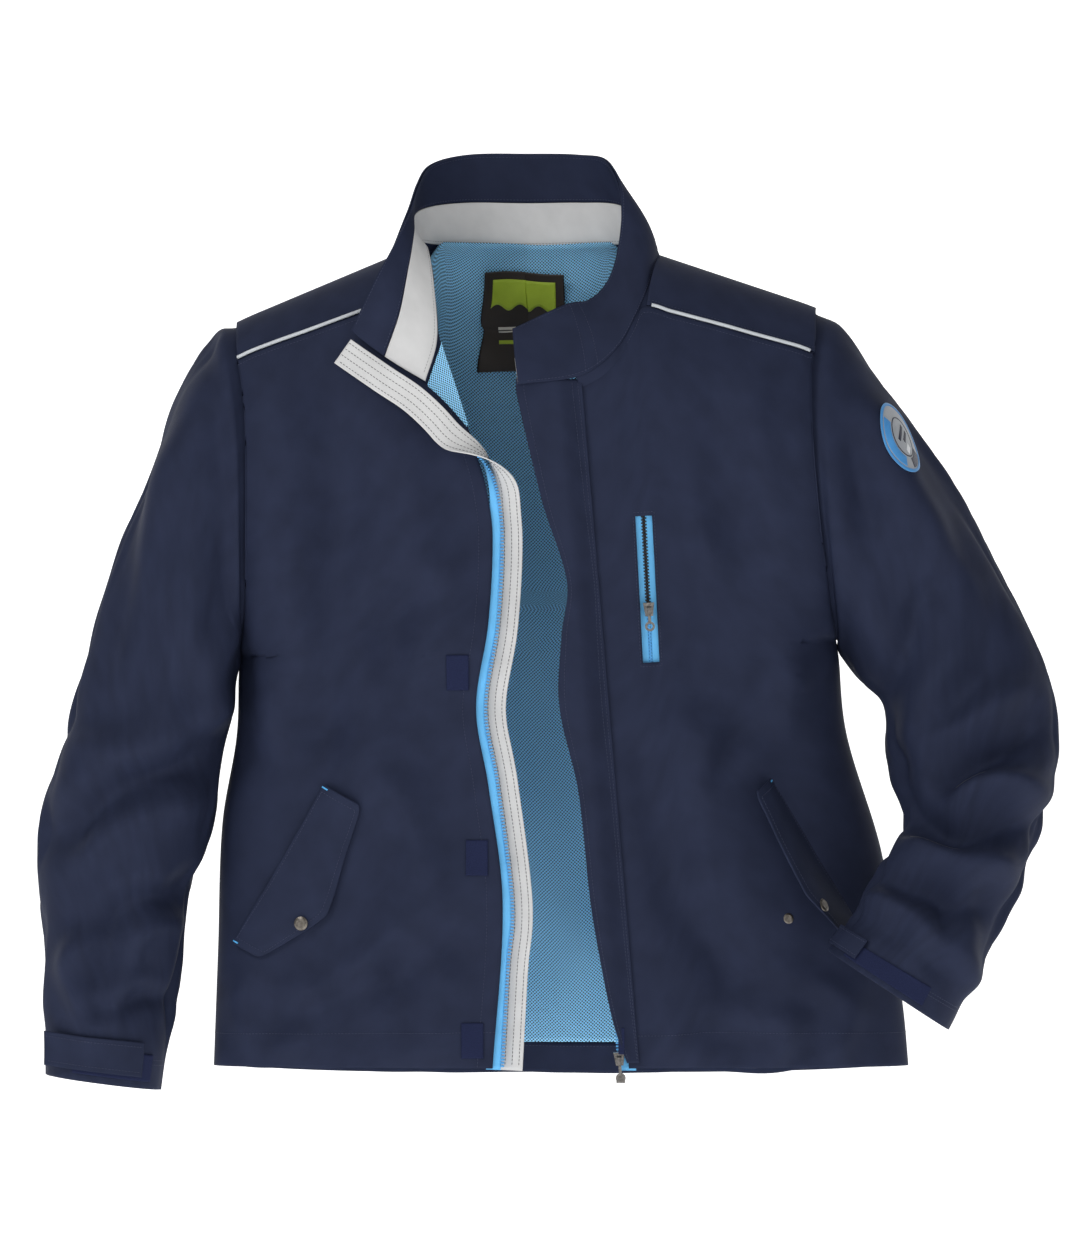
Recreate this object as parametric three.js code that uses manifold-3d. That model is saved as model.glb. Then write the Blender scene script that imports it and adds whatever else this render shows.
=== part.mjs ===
// A men's foul weather jacket, size large, standing open at the front as if on a hidden form.
// Millimetres. +Z is up, the front faces -Y, and the wearer's left is +X.
// The origin is in the middle of the neck hole, level with the neck seam.
//
// The body is an oval tube. At any height its outline runs between the two side curves, and its depth
// follows a superellipse that rounds over towards the shoulder line. The sleeves are rings
// that start on the armhole ovals. Every cloth layer is one such surface given a thickness.

import * as THREE from 'three';
import Module from 'manifold-3d';
import { mergeVertices } from 'three/addons/utils/BufferGeometryUtils.js';

const wasm = await Module();
wasm.setup();

// Driving dimensions
const CLOTH = 1.4; // shell cloth, with its coating
const GAP = 0.5; // between neighbouring pieces
const NECK_HALF = 118; // half width of the neck hole, on the shoulder line
const NECK_LEVEL = -3; // height of the shoulder line beside the neck
const SHOULDER_REACH = 268; // from the middle to the shoulder tips
const ARMHOLE = 300; // height of the armhole oval
const TIP_RIGHT = -66; // height of the shoulder tips
const TIP_LEFT = -53;
const FRONT_DEPTH = 104; // depth of the body in front of the side seams, at the chest
const BACK_DEPTH = 90; // and behind them
const ARM_FRONT = 92; // depth of the armhole oval
const ARM_BACK = 80;
const CHEST_LEVEL = -150; // height where the depths above are measured
const FRONT_HEM = -740;
const BACK_HEM = -750;
const LINING_IN = 14; // how far the mesh lining lies inside the shell
const GUARD_WIDTH = 27; // zip guard strip behind the main zip
const TAPE = 0.9; // thickness of the zip tapes
const BEAD = 1.7; // radius of a closed row of teeth
const COLOURS = { navy: 0x2b3048, blue: 0x5aa9e0, mesh: 0x4f9fd8, grey: 0xb9b9b9, metal: 0x55524e };

// Curves ------------------------------------------------------------------------------------

// A smooth curve through [key, value] pairs with rising keys, level beyond both ends.
function profile(pairs) {
  const slope = (i) => {
    const a = pairs[Math.max(i - 1, 0)];
    const b = pairs[Math.min(i + 1, pairs.length - 1)];
    return (b[1] - a[1]) / (b[0] - a[0]);
  };
  return (key) => {
    if (key <= pairs[0][0]) return pairs[0][1];
    if (key >= pairs.at(-1)[0]) return pairs.at(-1)[1];
    const i = pairs.findIndex((pair) => pair[0] > key) - 1;
    const [k0, v0] = pairs[i];
    const [k1, v1] = pairs[i + 1];
    const step = k1 - k0;
    const t = (key - k0) / step;
    const bend = (v1 - v0) * (3 * t * t - 2 * t * t * t) + v0;
    return bend + step * (slope(i) * (t ** 3 - 2 * t * t + t) + slope(i + 1) * (t ** 3 - t * t));
  };
}

// The same for points: t runs from 0 at the first point to 1 at the last.
function rail(points) {
  const axes = [0, 1, 2].map((axis) => profile(points.map((p, i) => [i / (points.length - 1), p[axis]])));
  return (t) => new THREE.Vector3(axes[0](t), axes[1](t), axes[2](t));
}

const mix = THREE.MathUtils.lerp;
const between = (a, b, t) => a.clone().lerp(b, t);

// Body ----------------------------------------------------------------------------------------

const sideRight = profile([[-744, -285], [-634, -281], [-520, -277], [-440, -264], [-374, -262],
  [-290, -257], [-158, -257], [-66, -268]]);
const sideLeft = profile([[-744, 347], [-689, 342], [-550, 323], [-437, 290], [-353, 282],
  [-222, 264], [-115, 259], [-53, 268]]);
const SHOULDER_SLOPE = 0.35; // of the shoulder line inside the neck hole
const SQUARENESS = 2.4; // exponent of the body's oval

function shoulder(x) {
  const tip = x < 0 ? TIP_RIGHT : TIP_LEFT;
  const out = Math.abs(x) - NECK_HALF;
  const slope = out < 0 ? SHOULDER_SLOPE : (NECK_LEVEL - tip) / (SHOULDER_REACH - NECK_HALF);
  return NECK_LEVEL - slope * out;
}

// How far the body's surface lies in front of (-1) or behind (1) the side seams.
function depth(face, x, z) {
  const middle = (sideRight(z) + sideLeft(z)) / 2;
  const half = (sideLeft(z) - sideRight(z)) / 2;
  const across = Math.min(Math.abs(x - middle) / half, 1);
  const crown = (1 - across ** SQUARENESS) ** (1 / SQUARENESS);
  const armhole_middle = (x < 0 ? TIP_RIGHT : TIP_LEFT) - ARMHOLE / 2;
  const down = THREE.MathUtils.clamp((armhole_middle - z) / (ARMHOLE / 2), 0, 1);
  const edge = (face < 0 ? ARM_FRONT : ARM_BACK) * Math.sqrt(1 - down * down);
  const taper = face < 0 ? 0.03 : 0.012;
  const full = (face < 0 ? FRONT_DEPTH : BACK_DEPTH) + taper * (z - CHEST_LEVEL);
  const over = THREE.MathUtils.clamp((shoulder(x) - z) / (ARMHOLE / 2), 0, 1);
  const rounding = Math.sqrt(1 - (1 - over) ** 2);
  return rounding * (edge + (full - edge) * crown) + GAP / 2;
}

const onBody = (face, x, z) => new THREE.Vector3(x, face * depth(face, x, z), z);
const onFront = (x, z) => onBody(-1, x, z);

// A panel of the body: from x = left(z) to right(z), from z = top(x) down to bottom(x).
// The columns crowd together at a side seam, where the oval turns away.
// So do the rows at a shoulder line.
function bodyPanel(face, { left, right, top, bottom, seamLeft = false, seamRight = false, ridge = false }) {
  return (u, v) => {
    const turn = seamLeft && seamRight ? (1 - Math.cos(Math.PI * u)) / 2
      : seamLeft ? 1 - Math.cos((Math.PI * u) / 2)
        : seamRight ? Math.sin((Math.PI * u) / 2) : u;
    const meet = (limit) => { // height where this column meets its upper or lower limit
      let z = limit(mix(left(CHEST_LEVEL), right(CHEST_LEVEL), turn));
      for (let i = 0; i < 4; i++) z = limit(mix(left(z), right(z), turn));
      return z;
    };
    const z = mix(meet(top), meet(bottom), ridge ? v * v : v);
    return onBody(face, mix(left(z), right(z), turn), z);
  };
}

// Solids --------------------------------------------------------------------------------------

function normalAt(surface, u, v, sign) {
  const d = 0.004;
  const along = surface(Math.min(u + d, 1), v).sub(surface(Math.max(u - d, 0), v));
  const down = surface(u, Math.min(v + d, 1)).sub(surface(u, Math.max(v - d, 0)));
  return along.cross(down).normalize().multiplyScalar(sign);
}

// Gives surface(u, v) a thickness: the solid reaches from `low` to `high` along its normal.
// A closed one joins u = 1 back to u = 0, as a tube does.
function slab(surface, { columns, rows, high = 0, low = -CLOTH, sign = 1, closed = false }) {
  const across = closed ? columns : columns + 1;
  const points = [];
  for (const offset of [high, low]) {
    for (let j = 0; j <= rows; j++) {
      for (let i = 0; i < across; i++) {
        const u = i / columns;
        const v = j / rows;
        points.push(surface(u, v).addScaledVector(normalAt(surface, u, v, sign), offset));
      }
    }
  }
  const layer = across * (rows + 1);
  const at = (i, j, side) => side * layer + j * across + (i % across);
  const faces = [];
  const quad = (a, b, c, d) => faces.push(...(sign > 0 ? [a, b, c, a, c, d] : [a, c, b, a, d, c]));
  for (let j = 0; j < rows; j++) {
    for (let i = 0; i < columns; i++) {
      quad(at(i, j, 0), at(i + 1, j, 0), at(i + 1, j + 1, 0), at(i, j + 1, 0));
      quad(at(i, j, 1), at(i, j + 1, 1), at(i + 1, j + 1, 1), at(i + 1, j, 1));
    }
  }
  for (let i = 0; i < columns; i++) {
    quad(at(i, 0, 0), at(i, 0, 1), at(i + 1, 0, 1), at(i + 1, 0, 0));
    quad(at(i, rows, 0), at(i + 1, rows, 0), at(i + 1, rows, 1), at(i, rows, 1));
  }
  for (let j = 0; j < rows && !closed; j++) {
    quad(at(0, j, 0), at(0, j + 1, 0), at(0, j + 1, 1), at(0, j, 1));
    quad(at(columns, j, 0), at(columns, j, 1), at(columns, j + 1, 1), at(columns, j + 1, 0));
  }
  const geometry = new THREE.BufferGeometry().setFromPoints(points);
  geometry.setIndex(faces);
  return geometry;
}

// Carries a flat outline along a path. frame(t) gives the origin and the outline's two directions.
function sweep(outline, frame, steps) {
  const points = [];
  for (let j = 0; j <= steps; j++) {
    const { origin, across, out } = frame(j / steps);
    for (const [a, b] of outline) {
      points.push(origin.clone().addScaledVector(across, a).addScaledVector(out, b));
    }
  }
  const n = outline.length;
  const faces = [];
  for (let j = 0; j < steps; j++) {
    for (let i = 0; i < n; i++) {
      const next = (i + 1) % n;
      faces.push(j * n + i, j * n + next, (j + 1) * n + next);
      faces.push(j * n + i, (j + 1) * n + next, (j + 1) * n + i);
    }
  }
  const flat = outline.map(([a, b]) => new THREE.Vector2(a, b));
  for (const [a, b, c] of THREE.ShapeUtils.triangulateShape(flat, [])) {
    faces.push(c, b, a, steps * n + a, steps * n + b, steps * n + c);
  }
  const geometry = new THREE.BufferGeometry().setFromPoints(points);
  geometry.setIndex(faces);
  const f = frame(0);
  const ahead = frame(1 / steps).origin.sub(f.origin);
  if (f.across.clone().cross(f.out).dot(ahead) < 0) geometry.index.array.reverse();
  return geometry;
}

const box = (low, high) => [[low[0], low[1]], [high[0], low[1]], [high[0], high[1]], [low[0], high[1]]];

// Booleans
function solid(geometry) {
  const bare = new THREE.BufferGeometry();
  bare.setAttribute('position', geometry.getAttribute('position'));
  bare.setIndex(geometry.index);
  const merged = mergeVertices(bare, 1e-4);
  return new wasm.Manifold(new wasm.Mesh({
    numProp: 3,
    vertProperties: merged.getAttribute('position').array,
    triVerts: Uint32Array.from(merged.index.array),
  }));
}

function geometryOf(manifold) {
  const { vertProperties, triVerts } = manifold.getMesh();
  const geometry = new THREE.BufferGeometry();
  geometry.setAttribute('position', new THREE.BufferAttribute(vertProperties, 3));
  geometry.setIndex(new THREE.BufferAttribute(triVerts, 1));
  return geometry;
}

const joined = (...parts) => geometryOf(parts.map(solid).reduce((a, b) => a.add(b)));
const cut = (from, ...tools) => geometryOf(tools.map(solid).reduce((a, b) => a.subtract(b), solid(from)));

const jacket = new THREE.Group();

function add(name, geometry, colour, { roughness = 0.8, metalness = 0, parent = jacket } = {}) {
  const shaded = geometry.toNonIndexed();
  shaded.computeVertexNormals();
  const material = new THREE.MeshStandardMaterial({ color: COLOURS[colour], roughness, metalness });
  const mesh = new THREE.Mesh(shaded, material);
  mesh.name = name;
  parent.add(mesh);
  return mesh;
}

// Fronts, yokes and back ----------------------------------------------------------------------

// Seam where each front meets its yoke, with the piping on it
const pipingRight = (x) => -98 + 0.364 * (x + 262);
// Free edge of the wearer's right front: the zip line, then the roll of its turned-out top
const edgeRight = profile([[-740, -31], [-590, -22], [-485, -35], [-415, -46], [-340, -35], [-260, -31],
  [-215, -37], [-191, -44], [-125, -65], [-80, -79], [-38, -84]]);
// The wearer's left zip lies on a straight line, because its slider runs on it
const ZIP_FOOT = [84, -742];
const ZIP_HEAD = [40, -150];
const zipLeft = (z) => mix(ZIP_FOOT[0], ZIP_HEAD[0], (z - ZIP_FOOT[1]) / (ZIP_HEAD[1] - ZIP_FOOT[1]));
const FRONT_FROM_ZIP = 8; // the left front's edge lies this far behind its teeth
const topLeft = profile([[40, -119], [60, -112], [82, -93], [96, -70], [104, -53], [130, -58], [256, -92]]);
const BACK_SEAM = -120; // lower edge of the back yoke
const backNeck = profile([[-NECK_HALF, NECK_LEVEL], [-80, 2], [0, 0], [80, 2], [NECK_HALF, NECK_LEVEL]]);
const hemFront = () => FRONT_HEM;

const frontRight = bodyPanel(-1, {
  left: sideRight, right: edgeRight, top: (x) => pipingRight(x) - GAP, bottom: hemFront, seamLeft: true,
});
const frontLeft = bodyPanel(-1, {
  left: (z) => zipLeft(z) + FRONT_FROM_ZIP, right: sideLeft, top: (x) => topLeft(x) - GAP, bottom: hemFront,
  seamRight: true,
});
const back = bodyPanel(1, {
  left: sideRight, right: sideLeft, top: () => BACK_SEAM - GAP, bottom: () => BACK_HEM,
  seamLeft: true, seamRight: true,
});
const backTop = (x) => (Math.abs(x) < NECK_HALF ? backNeck(x) - GAP : shoulder(x));
const backYoke = bodyPanel(1, {
  left: () => -SHOULDER_REACH + 4, right: () => SHOULDER_REACH - 5, top: backTop, bottom: () => BACK_SEAM,
  ridge: true,
});
const FRONT_NECK_RIGHT = -100;
const yokeRight = bodyPanel(-1, {
  left: () => -SHOULDER_REACH + 4, right: () => FRONT_NECK_RIGHT, top: shoulder, bottom: pipingRight,
  ridge: true,
});
const yokeLeft = (u, v) => {
  const x = mix(mix(NECK_HALF + 5, 108, v), SHOULDER_REACH - 6, u);
  return onFront(x, mix(shoulder(x), topLeft(x) + GAP, v * v));
};

const CHEST_TOP = [105, -242];
const CHEST_FOOT = [112, -374];
const CHEST_SLOT = 9; // width of the chest pocket's mouth

// Frame of the chest pocket's mouth: x across it, -y out of the front, z up along it
function chestFrame() {
  const top = onFront(...CHEST_TOP);
  const foot = onFront(...CHEST_FOOT);
  const middle = between(top, foot, 0.5);
  const up = top.clone().sub(foot).normalize();
  const side = onFront(middle.x + 12, middle.z).sub(onFront(middle.x - 12, middle.z)).normalize();
  const inward = up.clone().cross(side).normalize();
  return new THREE.Matrix4().makeBasis(inward.clone().cross(up), inward, up).setPosition(middle);
}
const CHEST_LENGTH = Math.hypot(CHEST_FOOT[0] - CHEST_TOP[0], CHEST_FOOT[1] - CHEST_TOP[1]);

function chestBlock(width, low, high, length, up = 0) {
  const block = new THREE.BoxGeometry(width, high - low, length).translate(0, (high + low) / 2, up);
  return block.applyMatrix4(chestFrame());
}

function addBody() {
  const front = { columns: 12, rows: 16 };
  add('front_panel_right', slab(frontRight, { ...front, sign: -1 }), 'navy');
  const slot = chestBlock(CHEST_SLOT, -10, 10, CHEST_LENGTH);
  add('front_panel_left', cut(slab(frontLeft, { ...front, sign: -1 }), slot), 'navy');
  add('back_panel', slab(back, { columns: 20, rows: 12 }), 'navy');
  add('back_yoke', slab(backYoke, { columns: 18, rows: 5 }), 'navy');
  add('front_yoke_right', slab(yokeRight, { columns: 8, rows: 5, sign: -1 }), 'navy');
  add('front_yoke_left', slab(yokeLeft, { columns: 8, rows: 5, sign: -1 }), 'navy');
}

addBody();

// Linings and the pieces inside ---------------------------------------------------------------

const LINING_HEM = -722;
const LABEL_IN = LINING_IN + 9.2; // the neck label hangs clear of the lining

function addLinings() {
  const inner = { high: -LINING_IN, low: -LINING_IN - 1, rows: 9 };
  const shorter = (x) => (Math.abs(x) < NECK_HALF ? backNeck(x) : shoulder(x)) - 14;
  const sides = {
    left: (z) => sideRight(z) + 4, right: (z) => sideLeft(z) - 4, seamLeft: true, seamRight: true,
  };
  const backLining = bodyPanel(1, { ...sides, top: shorter, bottom: () => LINING_HEM });
  const hemFacing = bodyPanel(1, { ...sides, top: () => LINING_HEM - GAP, bottom: () => BACK_HEM });
  const label = bodyPanel(1, { left: () => -41, right: () => 34, top: () => -14, bottom: () => -104 });
  const liningRight = bodyPanel(-1, {
    left: (z) => sideRight(z) + 4, right: (z) => edgeRight(z) - 16, top: (x) => pipingRight(x) - 14,
    bottom: hemFront, seamLeft: true,
  });
  const liningLeft = bodyPanel(-1, {
    left: (z) => zipLeft(z) + 26, right: (z) => sideLeft(z) - 4, top: (x) => topLeft(x) - 14,
    bottom: hemFront, seamRight: true,
  });
  // The back's inner pieces face forwards, so they are raised from the shell instead of sunk below it.
  const raised = (from, thick) => ({ sign: -1, high: from + thick, low: from });
  add('back_lining', slab(backLining, { columns: 20, rows: 9, ...raised(LINING_IN, 1) }), 'mesh');
  add('back_hem_facing', slab(hemFacing, { columns: 16, rows: 2, ...raised(LINING_IN, 1) }), 'navy');
  add('neck_label', slab(label, { columns: 4, rows: 4, ...raised(LABEL_IN, 0.8) }), 'navy');
  add('front_lining_right', slab(liningRight, { ...inner, columns: 8, sign: -1 }), 'mesh');
  add('front_lining_left', slab(liningLeft, { ...inner, columns: 8, sign: -1 }), 'mesh');
}
addLinings();

// Collar --------------------------------------------------------------------------------------
// Runs from its turned-out right end, around the back of the neck, to its left end at the flap.

const collarFoot = rail([[-90, -109, -122], [-80, -101, -84], [-84, -77, -34], [-90, -40, -2], [-96, 8, 6],
  [-80, 33, 5], [-45, 51, 4], [0, 61, 3], [45, 51, 4], [85, 31, 5], [116, -4, 3], [111, -52, -26],
  [99, -86, -58], [80, -104, -92], [48, -112, -116], [-8, -116, -124]]);
const collarTop = rail([[-157, -95, -75], [-140, -94, -35], [-122, -80, 0], [-109, -58, 32], [-99, -22, 60],
  [-84, 14, 79], [-52, 42, 89], [0, 54, 90], [46, 44, 89], [72, 24, 83], [84, -6, 56], [82, -30, 12],
  [74, -52, -28], [58, -68, -47], [34, -78, -52], [-13, -92, -74]]);
const COLLAR_BULGE = 6;

function collar(low, high) {
  return (u, v) => {
    const rise = mix(low, high, v);
    const point = between(collarFoot(u), collarTop(u), rise);
    const away = new THREE.Vector3(point.x, point.y, 0).normalize();
    return point.addScaledVector(away, COLLAR_BULGE * 4 * rise * (1 - rise));
  };
}

function addCollar() {
  const ring = { columns: 30, sign: 1 };
  add('collar_shell', slab(collar(0, 1), { ...ring, rows: 4, high: 0, low: -CLOTH }), 'navy');
  add('collar_facing', slab(collar(0.5, 1), { ...ring, rows: 2, high: 2, low: 1 }), 'navy');
  add('collar_band', slab(collar(0.02, 0.49), { ...ring, rows: 2, high: 2, low: 1 }), 'grey');
}
addCollar();

// Piping --------------------------------------------------------------------------------------

const PIPING = 1.5; // radius

function addPiping(name, seam, from, to) {
  const outline = [];
  for (let i = 0; i < 8; i++) {
    const a = (i * Math.PI) / 4;
    outline.push([PIPING * Math.cos(a), PIPING * Math.sin(a)]);
  }
  const frame = (t) => {
    const x = mix(from, to, t);
    const origin = onFront(x, seam(x));
    origin.y -= PIPING + GAP;
    return { origin, across: new THREE.Vector3(0, 0, 1), out: new THREE.Vector3(0, -1, 0) };
  };
  add(name, sweep(outline, frame, 12), 'grey', { roughness: 0.35 });
}
addPiping('piping_right', pipingRight, -262, -132);
addPiping('piping_left', topLeft, 112, 256);

// Main zip, the wearer's right half: it follows the free edge and turns over at the roll -------

const edgeLine = rail([[-31, 0, -741], [-26, 0, -650], [-22, 0, -590], [-35, 0, -485], [-46, 0, -415],
  [-35, 0, -340], [-31, 0, -262], [-37, 0, -215], [-47, 0, -180], [-67, 0, -152], [-93, 0, -127],
  [-124, 0, -106], [-158, 0, -82]]);
const TURN_FROM = 0.52; // where along the line the turn starts and ends
const TURN_TO = 0.74;
const LAPEL_RISE = 6; // the turned-out top stands this far off the front

function edgeFrame(t) {
  const line = edgeLine(t);
  const ahead = edgeLine(Math.min(t + 0.01, 1)).sub(edgeLine(Math.max(t - 0.01, 0))).normalize();
  const level = new THREE.Vector3(ahead.z, 0, -ahead.x);
  const back = new THREE.Vector3(0, 1, 0);
  const turned = THREE.MathUtils.smoothstep(t, TURN_FROM, TURN_TO);
  const angle = turned * Math.PI;
  const across = level.clone().multiplyScalar(Math.cos(angle)).addScaledVector(back, -Math.sin(angle));
  const out = back.clone().multiplyScalar(Math.cos(angle)).addScaledVector(level, Math.sin(angle));
  const origin = onFront(line.x, line.z);
  origin.y -= LAPEL_RISE * turned;
  return { origin, across, out };
}

// Tape and a closed row of teeth, in (across, out) of a frame: the teeth lie at `teeth`
function tapeOutline(from, teeth, level) {
  const outline = [[from, level], [teeth - BEAD, level]];
  for (let i = 0; i <= 4; i++) {
    const a = Math.PI * (-0.75 + 0.375 * i);
    outline.push([teeth + BEAD * Math.cos(a), level + TAPE / 2 + BEAD * Math.sin(a)]);
  }
  outline.push([teeth - BEAD, level + TAPE], [from, level + TAPE]);
  return outline;
}

function addRightZip() {
  const behind = CLOTH + GAP + 0.6;
  add('zip_tape_right', sweep(tapeOutline(1, 8, behind), edgeFrame, 44), 'blue');
  const guard = box([1, behind + 5], [GUARD_WIDTH, behind + 6.2]);
  add('zip_guard', sweep(guard, edgeFrame, 44), 'grey');
  const lapel = (u, v) => {
    const z = mix(-160, -86, v);
    const fold = onFront(edgeRight(z) + 1, z);
    const edge = edgeLine(mix(0.71, 0.83, v));
    const free = onFront(edge.x + 2, edge.z + 3);
    return between(fold, free, u).add(new THREE.Vector3(0, -3.4, 0));
  };
  add('lapel_lining', slab(lapel, { columns: 3, rows: 8, sign: 1, high: 0.5, low: -0.5 }), 'mesh');
}
addRightZip();

const HOOK_LEVELS = [-383, -550, -715];

function addHookPatches() {
  for (const [i, level] of HOOK_LEVELS.entries()) {
    const patch = (u, v) => onFront(edgeRight(level) - mix(30, 10, u), mix(level + 16, level - 16, v));
    const name = `hook_patch_${['top', 'middle', 'bottom'][i]}`;
    add(name, slab(patch, { columns: 3, rows: 4, sign: -1, high: 2.3, low: 1.1 }), 'navy');
  }
}
addHookPatches();

// Main zip, the wearer's left half: straight, under the storm flap -----------------------------

const FLAP_HEAD = [49, -130]; // the storm flap's seam is straight too, and is its hinge
const FLAP_FOOT = [100, -735];
const TAPE_BEHIND = CLOTH + 2.4; // the tape lies behind the front's edge

function frontY(x, z) {
  return -depth(-1, x, z);
}

// Frame on the left zip, from 0 at its foot to 1 at its head
function zipFrame(t) {
  const foot = new THREE.Vector3(ZIP_FOOT[0], frontY(...ZIP_FOOT) + TAPE_BEHIND, ZIP_FOOT[1]);
  const head = new THREE.Vector3(ZIP_HEAD[0], frontY(...ZIP_HEAD) + TAPE_BEHIND, ZIP_HEAD[1]);
  const origin = between(foot, head, t);
  return { origin, across: new THREE.Vector3(1, 0, 0), out: new THREE.Vector3(0, 1, 0) };
}

// Slider of a zip, in a frame of its own: z along the zip, the teeth at the origin, face at -y.
// The teeth pass through `channel`. Two lugs hold the pin that its pull turns on.
const SLIDER = { width: 10, front: -3.6, back: 3.6, length: 12 };
const PIN_Y = SLIDER.front - 2.6;
const PIN_Z = 1;

function sliderBody() {
  const shape = new THREE.Shape();
  shape.moveTo(-SLIDER.width / 2, SLIDER.length / 2);
  shape.lineTo(-SLIDER.width / 3, -SLIDER.length / 2);
  shape.lineTo(SLIDER.width / 3, -SLIDER.length / 2);
  shape.lineTo(SLIDER.width / 2, SLIDER.length / 2);
  const depthAll = SLIDER.back - SLIDER.front;
  const body = new THREE.ExtrudeGeometry(shape, { depth: depthAll, bevelEnabled: false });
  body.rotateX(Math.PI / 2).translate(0, SLIDER.back, 0);
  const channel = BEAD + GAP;
  const slot = new THREE.BoxGeometry(20, 2 * channel, 2 * SLIDER.length).translate(10 - channel, 0, 0);
  const lug = (x) => new THREE.BoxGeometry(1, 4, 3).translate(x, SLIDER.front - 1.9, PIN_Z);
  const pin = new THREE.CylinderGeometry(0.7, 0.7, 6, 10).rotateZ(Math.PI / 2).translate(0, PIN_Y, PIN_Z);
  return joined(cut(body, slot), lug(-2.6), lug(2.6), pin);
}

// Pull that hangs from the pin, with a ring at its end
function pullBody(length) {
  const eye = new THREE.Shape();
  eye.absarc(0, 0, 1.9, 0, 2 * Math.PI);
  eye.holes.push(new THREE.Path().absarc(0, 0, 1.15, 0, 2 * Math.PI, true));
  const barrel = new THREE.ExtrudeGeometry(eye, { depth: 3.2, bevelEnabled: false, curveSegments: 8 });
  barrel.translate(0, 0, -1.6).rotateY(Math.PI / 2);
  const stem = new THREE.BoxGeometry(2.6, 1.2, length - 8).translate(0, -0.6, -(length - 8) / 2 - 1.5);
  const ring = new THREE.Shape();
  ring.absarc(0, 0, 4.5, 0, 2 * Math.PI);
  ring.holes.push(new THREE.Path().absarc(0, 0, 2.4, 0, 2 * Math.PI, true));
  const end = new THREE.ExtrudeGeometry(ring, { depth: 1.2, bevelEnabled: false, curveSegments: 10 });
  end.rotateX(Math.PI / 2).translate(0, 0, -length + 3);
  return joined(barrel, stem, end);
}

const SLIDER_REST = 0.018; // of the way up the left zip
const MAIN_PULL = 21;
const CHEST_PULL = 19;
const metal = { roughness: 0.35, metalness: 0.9 };

function placeSlider(name, position, turn, pullName, pullLength) {
  const place = new THREE.Group();
  place.position.copy(position);
  place.quaternion.copy(turn);
  jacket.add(place);
  add(name, sliderBody(), 'metal', { ...metal, parent: place });
  const pull = add(pullName, pullBody(pullLength), 'metal', { ...metal, parent: place });
  pull.position.set(0, PIN_Y, PIN_Z);
}

function addLeftZip() {
  const outline = tapeOutline(-14, 0, -TAPE / 2).map(([a, b]) => [-a, b]).reverse();
  add('zip_tape_left', sweep(outline, zipFrame, 2), 'blue');
  const foot = zipFrame(-0.012).origin;
  const retainer = new THREE.BoxGeometry(8, 6, 7).translate(foot.x, foot.y, foot.z - 0.5);
  add('retaining_box', retainer, 'metal', metal);
  const up = zipFrame(1).origin.sub(zipFrame(0).origin).normalize();
  const turn = new THREE.Quaternion().setFromUnitVectors(new THREE.Vector3(0, 0, 1), up);
  placeSlider('main_slider', zipFrame(SLIDER_REST).origin, turn, 'main_pull', MAIN_PULL);
}
addLeftZip();

// Storm flap ----------------------------------------------------------------------------------

const flapFree = profile([[-735, 90], [-700, 78], [-648, 67], [-589, 57], [-489, 46], [-412, 29], [-350, 31],
  [-302, 36], [-230, 14], [-174, 0], [-130, -10]]);
const flapSeam = (z) => mix(FLAP_FOOT[0], FLAP_HEAD[0], (z - FLAP_FOOT[1]) / (FLAP_HEAD[1] - FLAP_FOOT[1]));
const FLAP_STAND = 11; // how far its free edge stands off, over the zip and its slider

function flapSurface(u, v) {
  const z = mix(-128, -735, v);
  const seam = flapSeam(z);
  const x = mix(flapFree(z), seam + 1, u);
  const point = onFront(x, z);
  const rise = Math.min(1, (seam + 1 - x) / 14);
  point.y -= mix(1.2, FLAP_STAND, THREE.MathUtils.smoothstep(rise, 0, 1));
  return point;
}

function addFlap() {
  add('storm_flap', slab(flapSurface, { columns: 6, rows: 18, sign: -1, high: CLOTH, low: 0 }), 'navy');
  for (const [i, level] of HOOK_LEVELS.entries()) {
    const across = Math.min(18, flapSeam(level) - flapFree(level) - 21);
    const patch = (u, v) => {
      const z = mix(level + 12, level - 12, v);
      const point = onFront(mix(flapFree(level) + 5, flapFree(level) + 5 + across, u), z);
      point.y -= FLAP_STAND - 3;
      return point;
    };
    const name = `loop_patch_${['top', 'middle', 'bottom'][i]}`;
    add(name, slab(patch, { columns: 2, rows: 2, sign: -1, high: 0.5, low: -0.5 }), 'navy');
  }
}
addFlap();

// Chest pocket --------------------------------------------------------------------------------

const CHEST_ZIP_IN = CLOTH + 2.8; // how far the chest zip lies inside the shell
const CHEST_OPEN = 82; // length of the open stretch above the chest slider

function addChestPocket() {
  const inside = (half) => [CHEST_ZIP_IN - half, CHEST_ZIP_IN + half];
  const tape = chestBlock(16, ...inside(TAPE / 2), CHEST_LENGTH + 12);
  const chain = chestBlock(2 * BEAD, ...inside(BEAD), CHEST_LENGTH + 4);
  const parting = chestBlock(1.4, ...inside(10), 2 * CHEST_OPEN, CHEST_LENGTH / 2);
  add('chest_zip_tape', geometryOf(solid(tape).add(solid(chain)).subtract(solid(parting))), 'blue');
  add('chest_pocket_bag', chestBlock(70, CHEST_ZIP_IN + 2.2, CHEST_ZIP_IN + 3, CHEST_LENGTH + 30), 'navy');
  const frame = chestFrame();
  const seat = new THREE.Vector3(0, -SLIDER.back - 0.9, CHEST_LENGTH / 2 - CHEST_OPEN - 2);
  const turn = new THREE.Quaternion().setFromRotationMatrix(frame);
  placeSlider('chest_slider', seat.applyMatrix4(frame), turn, 'chest_pull', CHEST_PULL);
}
addChestPocket();

// Hand pockets --------------------------------------------------------------------------------

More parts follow.
